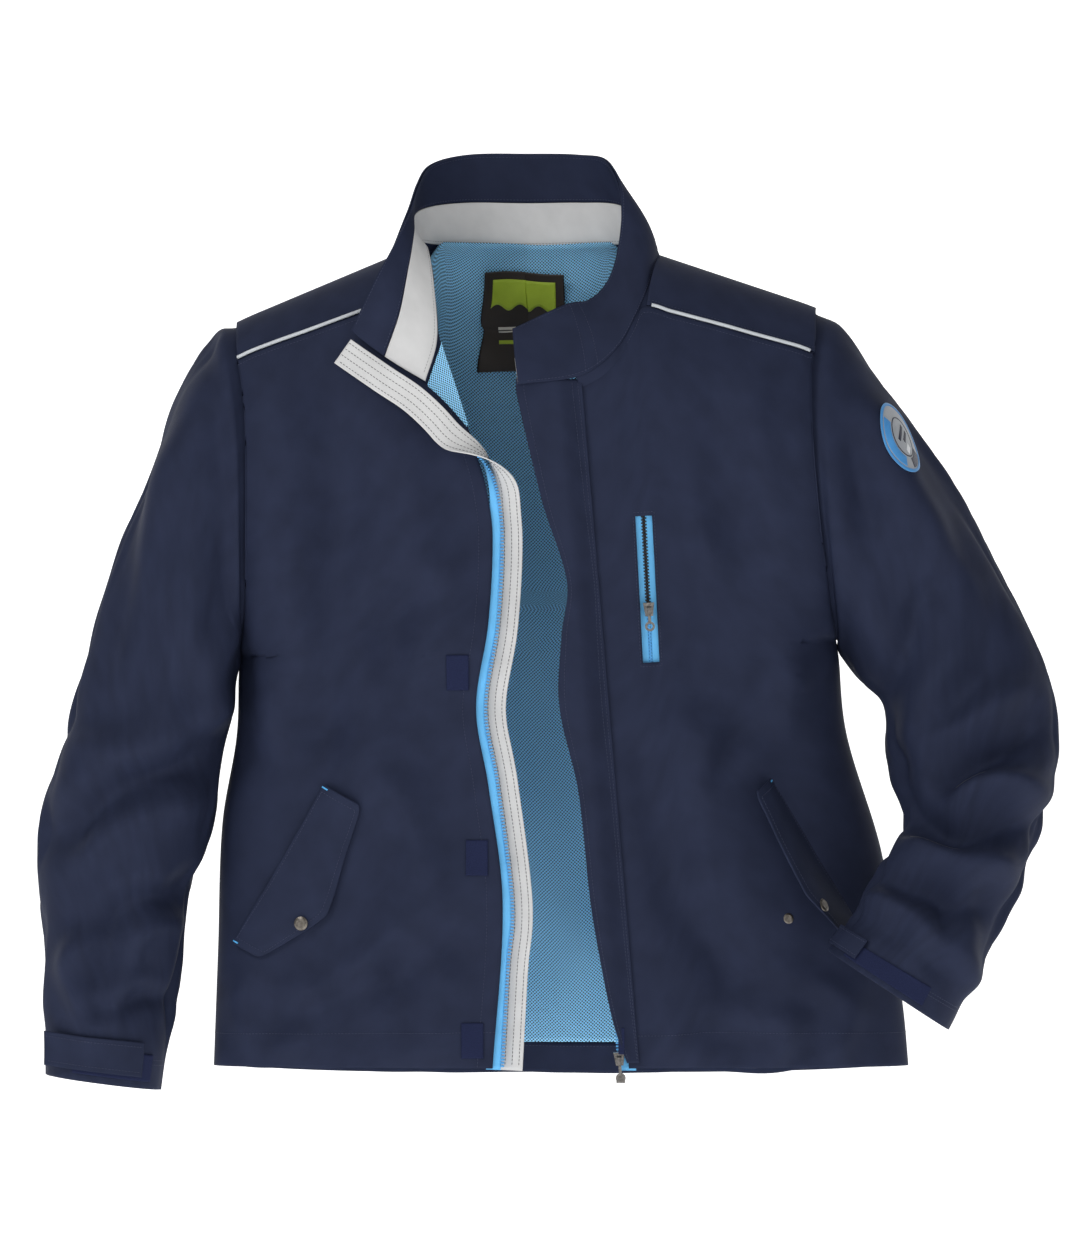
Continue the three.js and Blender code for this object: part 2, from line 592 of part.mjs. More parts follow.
// The right pocket: `head` and `foot` are the ends of the flap's sewn edge, which is its hinge.
const POCKETS = {
  right: { head: [-183, -483], foot: [-265, -627], side: -1, rest: 0 },
  left: { head: [216, -480], foot: [298, -622], side: 1, rest: 50 },
};
const FLAP_WIDTHS = [40, 62, 29]; // at the head, at the lower corner and at the foot
const FLAP_CORNER = 0.6; // the lower corner's place along the sewn edge
const SNAP = { along: 0.72, across: 46, radius: 6.3 };

function pocketPlace({ head, foot, side }) {
  const along = new THREE.Vector2(foot[0] - head[0], foot[1] - head[1]);
  const out = new THREE.Vector2(-along.y, along.x).normalize().multiplyScalar(side > 0 ? -1 : 1);
  const hinge = (t) => onFront(head[0] + along.x * t, head[1] + along.y * t);
  const at = (t, distance) => {
    const x = head[0] + along.x * t + out.x * distance;
    return onFront(x, head[1] + along.y * t + out.y * distance);
  };
  return { hinge, at };
}

function flapWidth(t) {
  return t < FLAP_CORNER ? mix(FLAP_WIDTHS[0], FLAP_WIDTHS[1], t / FLAP_CORNER)
    : mix(FLAP_WIDTHS[1], FLAP_WIDTHS[2], (t - FLAP_CORNER) / (1 - FLAP_CORNER));
}

function addPocket(name, pocket) {
  const { hinge, at } = pocketPlace(pocket);
  const sign = pocket.side;
  const welt = (u, v) => at(mix(0.03, 0.97, v), mix(1, 12, u));
  add(`pocket_welt_${name}`, slab(welt, { columns: 1, rows: 6, sign, high: 1.8, low: 0.8 }), 'navy');
  const bag = (u, v) => at(mix(-0.1, 1.05, v), mix(-4, 80, u));
  add(`hand_pocket_bag_${name}`, slab(bag, { columns: 3, rows: 6, sign, high: -6, low: -7 }), 'navy');

  const swing = new THREE.Group(); // turns about the flap's sewn edge
  const top = hinge(0);
  const axis = hinge(1).sub(top).normalize();
  const angle = -THREE.MathUtils.degToRad(pocket.rest * pocket.side);
  const turn = new THREE.Quaternion().setFromAxisAngle(axis, angle);
  swing.position.copy(top);
  swing.quaternion.copy(turn);
  jacket.add(swing);
  const local = (point) => point.sub(top);
  const flap = (u, v) => local(at(v, mix(2, flapWidth(v), u)));
  const shape = { columns: 5, rows: 10, sign, high: 5.4, low: 3.8 };
  add(`pocket_flap_${name}`, slab(flap, shape), 'navy', { parent: swing });

  const button = (surface, offset, radius, height) => {
    const normal = normalAt(surface, 0.5, 0.5, sign);
    const rounded = [[0, 0], [radius, 0], [radius, height * 0.6], [radius * 0.7, height], [0, height]];
    const body = new THREE.LatheGeometry(rounded.map(([r, z]) => new THREE.Vector2(r, z)), 20);
    body.applyQuaternion(new THREE.Quaternion().setFromUnitVectors(new THREE.Vector3(0, 1, 0), normal));
    const centre = surface(0.5, 0.5).addScaledVector(normal, offset);
    return body.translate(centre.x, centre.y, centre.z);
  };
  const near = (u, v) => at(SNAP.along + (v - 0.5) * 0.1, SNAP.across + (u - 0.5) * 10);
  const cap = button((u, v) => local(near(u, v)), 6.2, SNAP.radius, 2.4);
  add(`snap_cap_${name}`, cap, 'metal', { ...metal, parent: swing });
  add(`snap_stud_${name}`, button(near, 0.6, SNAP.radius * 0.8, 2), 'metal', metal);
}
for (const [name, pocket] of Object.entries(POCKETS)) addPocket(name, pocket);

// Sleeves -------------------------------------------------------------------------------------

// Rings from armhole to cuff: outer point x, z; inner point x, z; middle y; depth in front and behind.
const SLEEVES = {
  right: {
    seam: (z) => sideRight(z) - GAP,
    outer: rail([[-271, 0, -67], [-307, 0, -115], [-349, 0, -201], [-385, 0, -300], [-413, 0, -420],
      [-433, 0, -550], [-440, 0, -650], [-438, 0, -748]]),
    inner: rail([[-264, 0, -365], [-268, 0, -388], [-272, 0, -420], [-279, 0, -462], [-290, 0, -520],
      [-307, 0, -592], [-320, 0, -665], [-333, 0, -762]]),
    girth: rail([[0, 92, 80], [-1, 91, 80], [-3, 86, 77], [-6, 78, 72], [-9, 69, 65], [-10, 62, 58],
      [-10, 56, 54], [-10, 52, 50]]),
  },
  left: {
    seam: (z) => sideLeft(z) + GAP,
    outer: rail([[271, 0, -54], [330, 0, -133], [385, 0, -215], [430, 0, -293], [466, 0, -362], [478, 0, -421],
      [473, 0, -473], [458, 0, -534], [429, 0, -601], [402, 0, -653], [378, 0, -703]]),
    inner: rail([[284, 0, -353], [291, 0, -368], [301, 0, -384], [315, 0, -405], [333, 0, -436], [344, 0, -468],
      [346, 0, -500], [341, 0, -530], [321, 0, -556], [297, 0, -598], [270, 0, -632]]),
    girth: rail([[0, 92, 80], [-1, 91, 80], [-4, 86, 77], [-9, 78, 72], [-20, 70, 66], [-36, 64, 62],
      [-56, 60, 58], [-80, 56, 55], [-106, 54, 52], [-126, 52, 50], [-138, 50, 48]]),
  },
};
const SLEEVE_START = 0.006; // clear of the armhole's edge
const SEATED = 0.12; // as far as this along, the ring still leans to the armhole seam

function sleeveSurface({ seam, outer, inner, girth }, inset = 0) {
  return (u, v) => {
    const top = outer(v);
    const bottom = inner(v);
    const { x: middle, y: front, z: rear } = girth(v);
    const turn = 2 * Math.PI * u;
    const half = top.clone().sub(bottom).multiplyScalar(0.5);
    half.setLength(half.length() - inset);
    const point = top.add(bottom).multiplyScalar(0.5).addScaledVector(half, Math.cos(turn));
    point.y = middle - Math.sin(turn) * ((Math.sin(turn) > 0 ? front : rear) - inset);
    const start = between(inner(0), outer(0), 0.5 + Math.cos(turn) / 2);
    const lean = seam(start.z) - start.x; // how far the first ring has to move onto the body's seam
    point.x += lean * (1 - THREE.MathUtils.smoothstep(v, 0, SEATED));
    return point;
  };
}

function addSleeve(name, sleeve) {
  const surface = sleeveSurface(sleeve);
  const lining = sleeveSurface(sleeve, 8);
  const sign = name === 'right' ? -1 : 1;
  const tube = (from, to, shape) => (u, v) => shape(u, mix(from, to, v));
  const ring = { columns: 20, closed: true, sign };
  add(`sleeve_${name}`, slab(tube(SLEEVE_START, 1, surface), { ...ring, rows: 12 }), 'navy');
  const inner = { ...ring, columns: 16, rows: 8, high: 0, low: -1 };
  add(`sleeve_lining_${name}`, slab(tube(0.15, 0.94, lining), inner), 'navy');
  const patch = (u, v) => surface(mix(0.17, 0.4, u), mix(0.955, 0.99, v));
  add(`cuff_loop_patch_${name}`, slab(patch, { columns: 6, rows: 1, sign, high: 2, low: 1 }), 'navy');
}
for (const [name, sleeve] of Object.entries(SLEEVES)) addSleeve(name, sleeve);

const BADGE = { radius: 29, turn: 0.12, along: 0.115 };

function addBadge() {
  const surface = sleeveSurface(SLEEVES.left);
  const centre = surface(BADGE.turn, BADGE.along);
  const perTurn = surface(BADGE.turn + 0.01, BADGE.along).distanceTo(centre) * 100;
  const perLength = surface(BADGE.turn, BADGE.along + 0.01).distanceTo(centre) * 100;
  const disc = (u, v) => { // a square grid drawn out to a round edge
    const a = 2 * u - 1;
    const b = 2 * v - 1;
    const right = a * Math.sqrt(1 - (b * b) / 2) * BADGE.radius;
    const down = b * Math.sqrt(1 - (a * a) / 2) * BADGE.radius;
    return surface(BADGE.turn + right / perTurn, BADGE.along + down / perLength);
  };
  add('sleeve_badge', slab(disc, { columns: 6, rows: 6, sign: 1, high: 2, low: 1 }), 'grey');
}
addBadge();

// Cuff tabs -----------------------------------------------------------------------------------

const TAB_HEIGHT = 0.045; // of the sleeve's length

// Each tab is sewn on at `from` of a turn round the cuff and lies on it as far as `to`
function addTab(name, from, to, reach) {
  const surface = sleeveSurface(SLEEVES[name]);
  const sign = name === 'right' ? 1 : -1;
  const low = 0.985;
  const tab = (u, v) => {
    const turn = mix(from, to, Math.min(u / reach, 1));
    const point = surface(turn, mix(low - TAB_HEIGHT, low, v));
    const beyond = Math.max(0, u - reach);
    if (beyond > 0) {
      const ahead = surface(to, low).sub(surface(to - (to - from) * 0.1, low)).normalize();
      point.addScaledVector(ahead, beyond * 90);
    }
    return point;
  };
  add(`cuff_tab_${name}`, slab(tab, { columns: 8, rows: 2, sign, high: 4, low: 2.6 }), 'navy');
}
addTab('right', 0.36, 0.17, 0.7);
addTab('left', 0.52, 0.36, 1);

export default jacket;
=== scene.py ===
"""Foul weather jacket: the looks of a men's sailing jacket, built over its fixed CAD frame.

Lengths inside the shape functions are millimetres, in the CAD's own frame: +Z up, the front faces -Y.
The shapes follow the same driving dimensions as the CAD solids. MM turns them into metres.
"""
import math

import bpy
import numpy as np
from mathutils import Matrix, Vector
from mathutils.kdtree import KDTree


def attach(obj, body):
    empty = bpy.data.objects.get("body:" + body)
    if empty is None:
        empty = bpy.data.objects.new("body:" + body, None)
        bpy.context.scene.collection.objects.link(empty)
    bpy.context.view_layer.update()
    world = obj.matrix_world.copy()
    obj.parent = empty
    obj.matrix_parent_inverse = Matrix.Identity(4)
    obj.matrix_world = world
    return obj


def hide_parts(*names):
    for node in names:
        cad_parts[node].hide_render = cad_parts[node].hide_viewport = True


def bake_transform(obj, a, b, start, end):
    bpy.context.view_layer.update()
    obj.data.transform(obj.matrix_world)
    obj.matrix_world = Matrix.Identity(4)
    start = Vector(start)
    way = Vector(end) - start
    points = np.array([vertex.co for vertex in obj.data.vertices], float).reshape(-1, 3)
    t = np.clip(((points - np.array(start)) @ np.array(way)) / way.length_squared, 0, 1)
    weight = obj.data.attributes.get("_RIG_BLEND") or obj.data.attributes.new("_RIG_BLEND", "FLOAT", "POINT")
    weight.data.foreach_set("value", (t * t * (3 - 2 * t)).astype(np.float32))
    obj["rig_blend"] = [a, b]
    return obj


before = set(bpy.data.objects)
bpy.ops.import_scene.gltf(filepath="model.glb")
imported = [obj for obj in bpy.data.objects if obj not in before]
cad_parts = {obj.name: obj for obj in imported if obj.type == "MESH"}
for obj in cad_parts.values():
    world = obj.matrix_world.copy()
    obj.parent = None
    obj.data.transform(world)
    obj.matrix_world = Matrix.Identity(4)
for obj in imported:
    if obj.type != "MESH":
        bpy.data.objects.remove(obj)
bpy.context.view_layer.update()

bl_info = {
    "name": "Foul Weather Jacket",
    "version": (1, 0, 0),
    "blender": (4, 5, 0),
    "location": "View3D > Sidebar > Jacket",
    "description": "Builds the cloth, trim and zips of a foul weather jacket over its CAD frame",
    "category": "Object",
}

MM = 0.001

# Driving dimensions, as in the CAD
CLOTH = 1.4
NECK_HALF = 118
NECK_LEVEL = -3
SHOULDER_REACH = 268
ARMHOLE = 300
TIP_RIGHT = -66
TIP_LEFT = -53
FRONT_DEPTH = 104
BACK_DEPTH = 90
ARM_FRONT = 92
ARM_BACK = 80
CHEST_LEVEL = -150
FRONT_HEM = -740
BACK_HEM = -750
GUARD_WIDTH = 27
SEAM = 0.25  # half the gap at a seam
HEM = 30  # from a hem's edge to its stitching


# Curves and surfaces ---------------------------------------------------------------------------


def profile(pairs):
    """A smooth curve through (key, value) pairs with rising keys, level beyond both ends."""
    keys, values = (np.array(column, float) for column in zip(*pairs))
    slopes = np.empty(len(keys))
    slopes[1:-1] = (values[2:] - values[:-2]) / (keys[2:] - keys[:-2])
    slopes[0] = (values[1] - values[0]) / (keys[1] - keys[0])
    slopes[-1] = (values[-1] - values[-2]) / (keys[-1] - keys[-2])

    def value(key):
        key = np.clip(key, keys[0], keys[-1])
        i = np.clip(np.searchsorted(keys, key, side="right") - 1, 0, len(keys) - 2)
        step = keys[i + 1] - keys[i]
        t = (key - keys[i]) / step
        rise = (values[i + 1] - values[i]) * (3 * t**2 - 2 * t**3) + values[i]
        bend = slopes[i] * (t**3 - 2 * t**2 + t) + slopes[i + 1] * (t**3 - t**2)
        return rise + step * bend

    return value


def rail(points):
    """A smooth curve through points: t runs from 0 at the first to 1 at the last."""
    last = len(points) - 1
    axes = [profile([(i / last, p[axis]) for i, p in enumerate(points)]) for axis in range(3)]
    return lambda t: np.stack([axis(np.asarray(t, float)) for axis in axes], -1)


def mix(a, b, t):
    return a + (b - a) * t


def smooth(t, low=0.0, high=1.0):
    t = np.clip((t - low) / (high - low), 0, 1)
    return t * t * (3 - 2 * t)


def unit(v):
    return v / np.maximum(np.linalg.norm(v, axis=-1, keepdims=True), 1e-9)


side_right = profile([(-744, -285), (-634, -281), (-520, -277), (-440, -264), (-374, -262), (-290, -257),
                      (-158, -257), (-66, -268)])
side_left = profile([(-744, 347), (-689, 342), (-550, 323), (-437, 290), (-353, 282), (-222, 264),
                     (-115, 259), (-53, 268)])
edge_right = profile([(-740, -31), (-590, -22), (-485, -35), (-415, -46), (-340, -35), (-260, -31),
                      (-215, -37), (-191, -44), (-125, -65), (-80, -79), (-38, -84)])
top_left = profile([(40, -119), (60, -112), (82, -93), (96, -70), (104, -53), (130, -58), (256, -92)])
back_neck = profile([(-NECK_HALF, NECK_LEVEL), (-80, 2), (0, 0), (80, 2), (NECK_HALF, NECK_LEVEL)])
flap_free = profile([(-735, 90), (-700, 78), (-648, 67), (-589, 57), (-489, 46), (-412, 29), (-350, 31),
                     (-302, 36), (-230, 14), (-174, 0), (-130, -10)])
ZIP_FOOT = (84, -742)
ZIP_HEAD = (40, -150)
FLAP_HEAD = (49, -130)
FLAP_FOOT = (100, -735)
BACK_SEAM = -120
LINING_IN = 14
LINING_HEM = -722
CHEST_TOP = (105, -242)
CHEST_FOOT = (112, -374)


def shoulder(x):
    tip = np.where(x < 0, TIP_RIGHT, TIP_LEFT)
    out = np.abs(x) - NECK_HALF
    slope = np.where(out < 0, 0.35, (NECK_LEVEL - tip) / (SHOULDER_REACH - NECK_HALF))
    return NECK_LEVEL - slope * out


def piping_right(x):
    return -98 + 0.364 * (x + 262)


def straight(foot, head):
    """x at each height on the straight line through two points (x, z)."""
    return lambda z: mix(foot[0], head[0], (z - foot[1]) / (head[1] - foot[1]))


zip_left = straight(ZIP_FOOT, ZIP_HEAD)
flap_seam = straight(FLAP_FOOT, FLAP_HEAD)


def across_body(x, z):
    """0 in the middle of the body, 1 at its side seams."""
    left, right = side_right(z), side_left(z)
    return np.minimum(np.abs(x - (left + right) / 2) / ((right - left) / 2), 1)


def armhole_edge(face, x, z):
    """How far the armhole's oval reaches in front of or behind the side seams."""
    middle = np.where(x < 0, TIP_RIGHT, TIP_LEFT) - ARMHOLE / 2
    down = np.clip((middle - z) / (ARMHOLE / 2), 0, 1)
    return (ARM_FRONT if face < 0 else ARM_BACK) * np.sqrt(1 - down**2)


UNDERARM = np.linspace(-75, 75, 11)  # heights over which the underarm's turn is spread, away from its seam


def depth(face, x, z):
    across = across_body(x, z)
    crown = (1 - across**2.4) ** (1 / 2.4)
    spread = np.mean([armhole_edge(face, x, z + step) for step in UNDERARM], 0)
    near_seam = smooth(across, 0.8, 1.0)
    edge = mix(spread, armhole_edge(face, x, z), np.maximum(near_seam, 1 - smooth(across, 0.35, 0.55)))
    full = mix(BACK_DEPTH, FRONT_DEPTH, face < 0) + (0.03 if face < 0 else 0.012) * (z - CHEST_LEVEL)
    over = np.clip((shoulder(x) - z) / (ARMHOLE / 2), 0, 1)
    return np.sqrt(1 - (1 - over) ** 2) * (edge + (full - edge) * crown) + SEAM


# Folds -----------------------------------------------------------------------------------------

# Each fold runs from (x, z) to (x, z), with its half width and its height; a negative one is a valley.
FOLDS = {
    "front": [
        (-222, -120, -214, -420, 26, 5), (-176, -120, -188, -520, 22, -4), (-150, -170, -60, -330, 34, 5),
        (-60, -330, -190, -540, 26, 6), (-90, -300, -150, -440, 22, -5), (-262, -420, -150, -500, 20, 4),
        (-150, -480, -70, -560, 26, 5), (-60, -560, -170, -690, 30, 6), (-100, -640, -225, -712, 18, -5),
        (-70, -640, -110, -740, 24, 5), (-200, -650, -196, -740, 20, 5), (-255, -640, -250, -740, 14, 4),
        (-262, -250, -215, -470, 18, 5),
        (218, -110, 232, -420, 26, 5), (176, -110, 190, -380, 22, -4), (72, -150, 90, -300, 18, 4),
        (140, -280, 130, -400, 24, -4), (168, -240, 200, -430, 30, 5), (132, -420, 190, -560, 30, 6),
        (120, -520, 210, -690, 26, -5), (150, -520, 250, -700, 28, 6), (262, -380, 190, -470, 18, 5),
        (230, -440, 150, -470, 18, -4), (262, -420, 300, -690, 18, 5), (110, -650, 140, -740, 24, 4),
        (200, -670, 232, -740, 22, 5), (270, -650, 290, -740, 16, 4),
    ],
    "back": [
        (-225, -100, -210, -460, 18, 6), (225, -100, 230, -460, 18, 6), (-120, -160, -90, -640, 30, -4),
        (110, -160, 130, -640, 30, -4), (0, -200, 10, -720, 34, 4), (-240, -420, -60, -520, 22, 4),
        (250, -420, 80, -520, 22, 4), (-200, -560, -210, -745, 20, 5), (240, -560, 260, -745, 20, 5),
        (-60, -60, 60, -64, 16, 3),
    ],
    "right_sleeve": [
        (-300, -120, -350, -330, 20, 5), (-330, -160, -390, -420, 18, -4), (-290, -250, -330, -430, 18, 5),
        (-276, -400, -400, -470, 17, 6), (-282, -440, -415, -530, 14, -5), (-292, -490, -430, -560, 16, 6),
        (-300, -560, -390, -640, 15, -5), (-318, -600, -425, -650, 15, 6), (-325, -670, -400, -700, 10, -4),
        (-420, -440, -436, -600, 16, 5), (-350, -600, -372, -720, 12, 5), (-405, -620, -395, -735, 11, 4),
        (-268, -320, -292, -440, 12, 5),
    ],
    "left_sleeve": [
        (300, -120, 372, -300, 20, 5), (285, -170, 350, -360, 18, -4), (320, -200, 420, -360, 16, 4),
        (345, -478, 450, -390, 17, 9), (350, -492, 474, -440, 12, -8), (346, -500, 470, -478, 15, 9),
        (342, -520, 462, -525, 13, -7), (338, -540, 440, -570, 15, 7), (330, -455, 400, -330, 16, 7),
        (320, -420, 372, -290, 13, -5), (318, -560, 420, -610, 12, -5), (302, -585, 400, -640, 12, 5),
        (400, -560, 385, -690, 14, 5), (360, -580, 350, -660, 12, 4),
    ],
}


def folded(place, x, z):
    """Height of the folds at (x, z): soft ridges, each with a shallow hollow beside it."""
    total = np.zeros(np.broadcast(x, z).shape)
    for x0, z0, x1, z1, width, height in FOLDS[place]:
        along = np.array([x1 - x0, z1 - z0], float)
        length = np.hypot(*along)
        along /= length
        # a fold wanders a little to both sides of its straight line
        t = ((x - x0) * along[0] + (z - z0) * along[1]) / length
        off = (x - x0) * along[1] - (z - z0) * along[0]
        off = off + width * 0.45 * np.sin(4.2 * t + x0) + width * 0.2 * np.sin(9.1 * t + z0)
        ends = smooth(t, -0.12, 0.22) * (1 - smooth(t, 0.7, 1.12))
        ridge = np.exp(-((off / width) ** 2)) - 0.45 * np.exp(-(((off - 1.9 * width) / width) ** 2))
        total = total + height * ends * ridge
    return total


def rippled(x, z, seed=0.0):
    """Small uneven waves, longer up the cloth than across it."""
    total = 0
    for i, (across, up, high) in enumerate([(0.031, 0.007, 1.3), (0.052, -0.013, 0.8), (0.083, 0.024, 0.45),
                                            (0.021, 0.047, 0.5), (0.117, -0.041, 0.25)]):
        phase = seed + 2.1 * i
        bend = 1.7 * np.sin(0.012 * z + 0.008 * x + phase)
        total = total + high * np.sin(across * x + up * z + bend + phase)
    return total


def calm(x, z):
    """1 where the front may fold, 0 along the straight left zip and round the chest pocket.
    Under the flaps of the hand pockets the cloth is nearly flat."""
    from_zip = smooth(np.abs(x - zip_left(z)), 14, 50)
    seam = np.where(x < 0, piping_right(x), top_left(x))
    from_zip = from_zip * mix(0.3, 1, smooth(np.abs(z - seam), 0, 45))
    middle = (np.array(CHEST_TOP) + CHEST_FOOT) / 2
    reach = np.hypot((x - middle[0]) / 34, (z - middle[1]) / 92)
    flat = from_zip * smooth(reach, 1.0, 1.7)
    for pocket in POCKETS.values():
        middle = (np.array(pocket["head"]) + pocket["foot"]) / 2
        flat = flat * mix(0.25, 1, smooth(np.hypot(x - middle[0], z - middle[1]), 80, 130))
    return flat


SINK = 3.5  # how far the cloth is drawn in at an armhole seam


def armhole_sink(x, z):
    """The cloth rounds off towards the armhole seams."""
    left, right = side_right(z), side_left(z)
    near = np.minimum(x - left, right - x)
    tip = np.where(x < 0, TIP_RIGHT, TIP_LEFT)
    along = smooth(z, tip - ARMHOLE - 30, tip - ARMHOLE + 40) * (1 - 0.8 * smooth(z, tip - 60, tip))
    return SINK * np.exp(-((np.maximum(near, 0) / 11) ** 2)) * along


def body_skin(face, x, z, lift=0.0):
    """The body's outer surface with its folds, raised by lift along its normal."""
    x, z = np.broadcast_arrays(np.asarray(x, float), np.asarray(z, float))
    step = 0.6
    flat = depth(face, x, z)
    slope_x = (depth(face, x + step, z) - depth(face, x - step, z)) / (2 * step)
    slope_z = (depth(face, x, z + step) - depth(face, x, z - step)) / (2 * step)
    normal = unit(np.stack([-slope_x, np.full(x.shape, float(face)), -slope_z], -1))
    edge = (1 - across_body(x, z) ** 10) * smooth(shoulder(x) - z, 0, 40)
    place = "front" if face < 0 else "back"
    if face < 0:
        edge = edge * calm(x, z)
    folding = bpy.context.scene.jacket_sizes.fold_height
    height = edge * (folding * folded(place, x, z) + rippled(x, z, seed=face)) + lift
    height = height - armhole_sink(x, z)
    return np.stack([x, face * flat, z], -1) + normal * height[..., None]


def panel(face, left, right, top, bottom, seams=(False, False), ridge=False, lift=0.0):
    """A body panel: u runs across from left to right, v down from top to bottom."""
    at_left, at_right = seams

    def surface(u, v):
        if at_left and at_right:
            turn = (1 - np.cos(np.pi * u)) / 2
        elif at_left:
            turn = 1 - np.cos(np.pi * u / 2)
        elif at_right:
            turn = np.sin(np.pi * u / 2)
        else:
            turn = u

        def meet(limit):
            z = limit(mix(left(CHEST_LEVEL), right(CHEST_LEVEL), turn))
            for _ in range(4):
                z = limit(mix(left(z), right(z), turn))
            return z

        z = mix(meet(top), meet(bottom), v * v if ridge else v)
        x = mix(left(z), right(z), turn)
        return body_skin(face, x, z, lift(x, z) if callable(lift) else lift)

    return surface


def level(value):
    return lambda key: np.full(np.shape(key), float(value))


# Meshes ----------------------------------------------------------------------------------------


def sampled(surface, columns, rows):
    u, v = np.meshgrid(np.linspace(0, 1, columns + 1), np.linspace(0, 1, rows + 1))
    return surface(u, v)


def grid_normals(points, closed=False):
    if closed:
        wrapped = np.concatenate([points[:, -2:-1], points, points[:, 1:2]], 1)
        along = wrapped[:, 2:] - wrapped[:, :-2]
    else:
        along = np.gradient(points, axis=1)
    return unit(np.cross(along, np.gradient(points, axis=0)))


class Cloth:
    """A sheet of cloth sampled on a grid, with its outward normals."""

    def __init__(self, surface, columns, rows, outward=1, closed=False):
        self.points = sampled(surface, columns, rows)
        self.normals = outward * grid_normals(self.points, closed)
        self.outward = outward
        self.closed = closed

    def at(self, u, v, lift=0.0):
        """Points lifted off the sheet, for u and v from 0 to 1."""
        rows, columns = self.points.shape[:2]
        a, b = np.broadcast_arrays(np.asarray(u, float) * (columns - 1), np.asarray(v, float) * (rows - 1))
        i, j = np.clip(a.astype(int), 0, columns - 2), np.clip(b.astype(int), 0, rows - 2)
        s, t = (a - i)[..., None], (b - j)[..., None]
        found = []
        for grid in (self.points, self.normals):
            upper = mix(grid[j, i], grid[j, i + 1], s)
            lower = mix(grid[j + 1, i], grid[j + 1, i + 1], s)
            found.append(mix(upper, lower, t))
        return found[0] + unit(found[1]) * lift

    def build(self, name, material, high=0.0, low=-CLOTH):
        """The sheet as a closed solid between two offsets, its UV map in metres of cloth."""
        rows, columns = self.points.shape[:2]
        layers = [self.points + self.normals * offset for offset in (high, low)]
        ids = np.arange(rows * columns).reshape(rows, columns)
        under = ids + rows * columns
        a, b, c, d = ids[:-1, :-1], ids[:-1, 1:], ids[1:, 1:], ids[1:, :-1]
        quads = [np.stack([a, b, c, d], -1).reshape(-1, 4),
                 np.stack([a, d, c, b], -1).reshape(-1, 4) + rows * columns]
        for upper, lower, forward in ((ids[0], under[0], True), (ids[-1], under[-1], False)):
            quads.append(rim(upper, lower, forward))
        if not self.closed:
            quads.append(rim(ids[:, 0], under[:, 0], False))
            quads.append(rim(ids[:, -1], under[:, -1], True))
        corners = np.concatenate(quads)
        if self.outward < 0:
            corners = corners[:, ::-1]
        weld = np.arange(2 * rows * columns)
        if self.closed:
            weld[ids[:, -1]] = ids[:, 0]
            weld[under[:, -1]] = under[:, 0]
        down = np.tile(np.repeat(np.linspace(0, 1, rows), columns), 2)
        return mesh_object(name, np.concatenate([p.reshape(-1, 3) for p in layers]), weld[corners], material,
                           self.cut_places()[corners].reshape(-1, 2), down)

    def cut_places(self):
        """Each point's place on the cut cloth, in metres."""
        across = np.cumsum(np.linalg.norm(np.diff(self.points, axis=1), axis=-1), axis=1)
        across = np.concatenate([np.zeros((len(across), 1)), across], 1)
        across -= across[:, -1:] / 2
        along = np.cumsum(np.linalg.norm(np.diff(self.points, axis=0), axis=-1), axis=0)
        along = np.concatenate([np.zeros((1, along.shape[1])), along], 0)
        places = np.stack([across, -along], -1).reshape(-1, 2) * MM
        return np.concatenate([places, places])

    def cut_size(self):
        """Width, length and area of the sheet laid flat, in metres and square metres."""
        a, b = np.diff(self.points, axis=1), np.diff(self.points, axis=0)
        width = np.linalg.norm(a, axis=-1).sum(1).max() * MM
        length = np.linalg.norm(b, axis=-1).sum(0).max() * MM
        area = np.linalg.norm(np.cross(a[:-1], b[:, :-1]), axis=-1).sum() * MM * MM
        width = min(width, 2 * area / length)  # a strip with pointed ends is cut from a narrower piece
        return float(width), float(length), float(area)


def rim(upper, lower, forward):
    a, b, c, d = upper[:-1], lower[:-1], lower[1:], upper[1:]
    return np.stack([a, b, c, d] if forward else [a, d, c, b], -1)


def mesh_object(name, points, faces, material, places=None, down=None):
    """A smooth piece from points in millimetres. places are its corners on the cut cloth, in metres."""
    mesh = bpy.data.meshes.new(name)
    used = np.unique(faces)
    renumber = np.zeros(len(points), int)
    renumber[used] = np.arange(len(used))
    mesh.from_pydata((points[used] * MM).tolist(), [], renumber[faces].tolist())
    if places is not None:
        mesh.uv_layers.new(name="cut").data.foreach_set("uv", places.astype(np.float32).ravel())
    if down is not None:
        mesh.attributes.new("down", "FLOAT", "POINT").data.foreach_set("value", down[used].astype(np.float32))
    return in_scene(name, mesh, material)


def in_scene(name, mesh, material):
    """A smooth mesh with its material, as an object of the scene."""
    mesh.polygons.foreach_set("use_smooth", [True] * len(mesh.polygons))
    mesh.materials.append(material)
    piece = bpy.data.objects.new(name, mesh)
    bpy.context.scene.collection.objects.link(piece)
    return piece


def set_in(piece, body, slot, *nodes):
    """Lets a finished piece ride on a body, and stand for CAD nodes."""
    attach(piece, body)
    if nodes:
        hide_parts(*nodes)
    return piece


def copies(name, source, matrices, material):
    """One mesh holding a copy of source at every matrix (4 by 4, millimetres). Source is removed."""
    points = np.array([v.co for v in source.data.vertices])
    faces = [list(p.vertices) for p in source.data.polygons]
    matrices = np.asarray(matrices)
    placed = np.einsum("nij,pj->npi", matrices[:, :3, :3], points) + matrices[:, None, :3, 3]
    count = len(points)
    all_faces = [[v + k * count for v in f] for k in range(len(matrices)) for f in faces]
    mesh = bpy.data.meshes.new(name)
    mesh.from_pydata((placed.reshape(-1, 3) * MM).tolist(), [], all_faces)
    bpy.data.objects.remove(source)
    return in_scene(name, mesh, material)


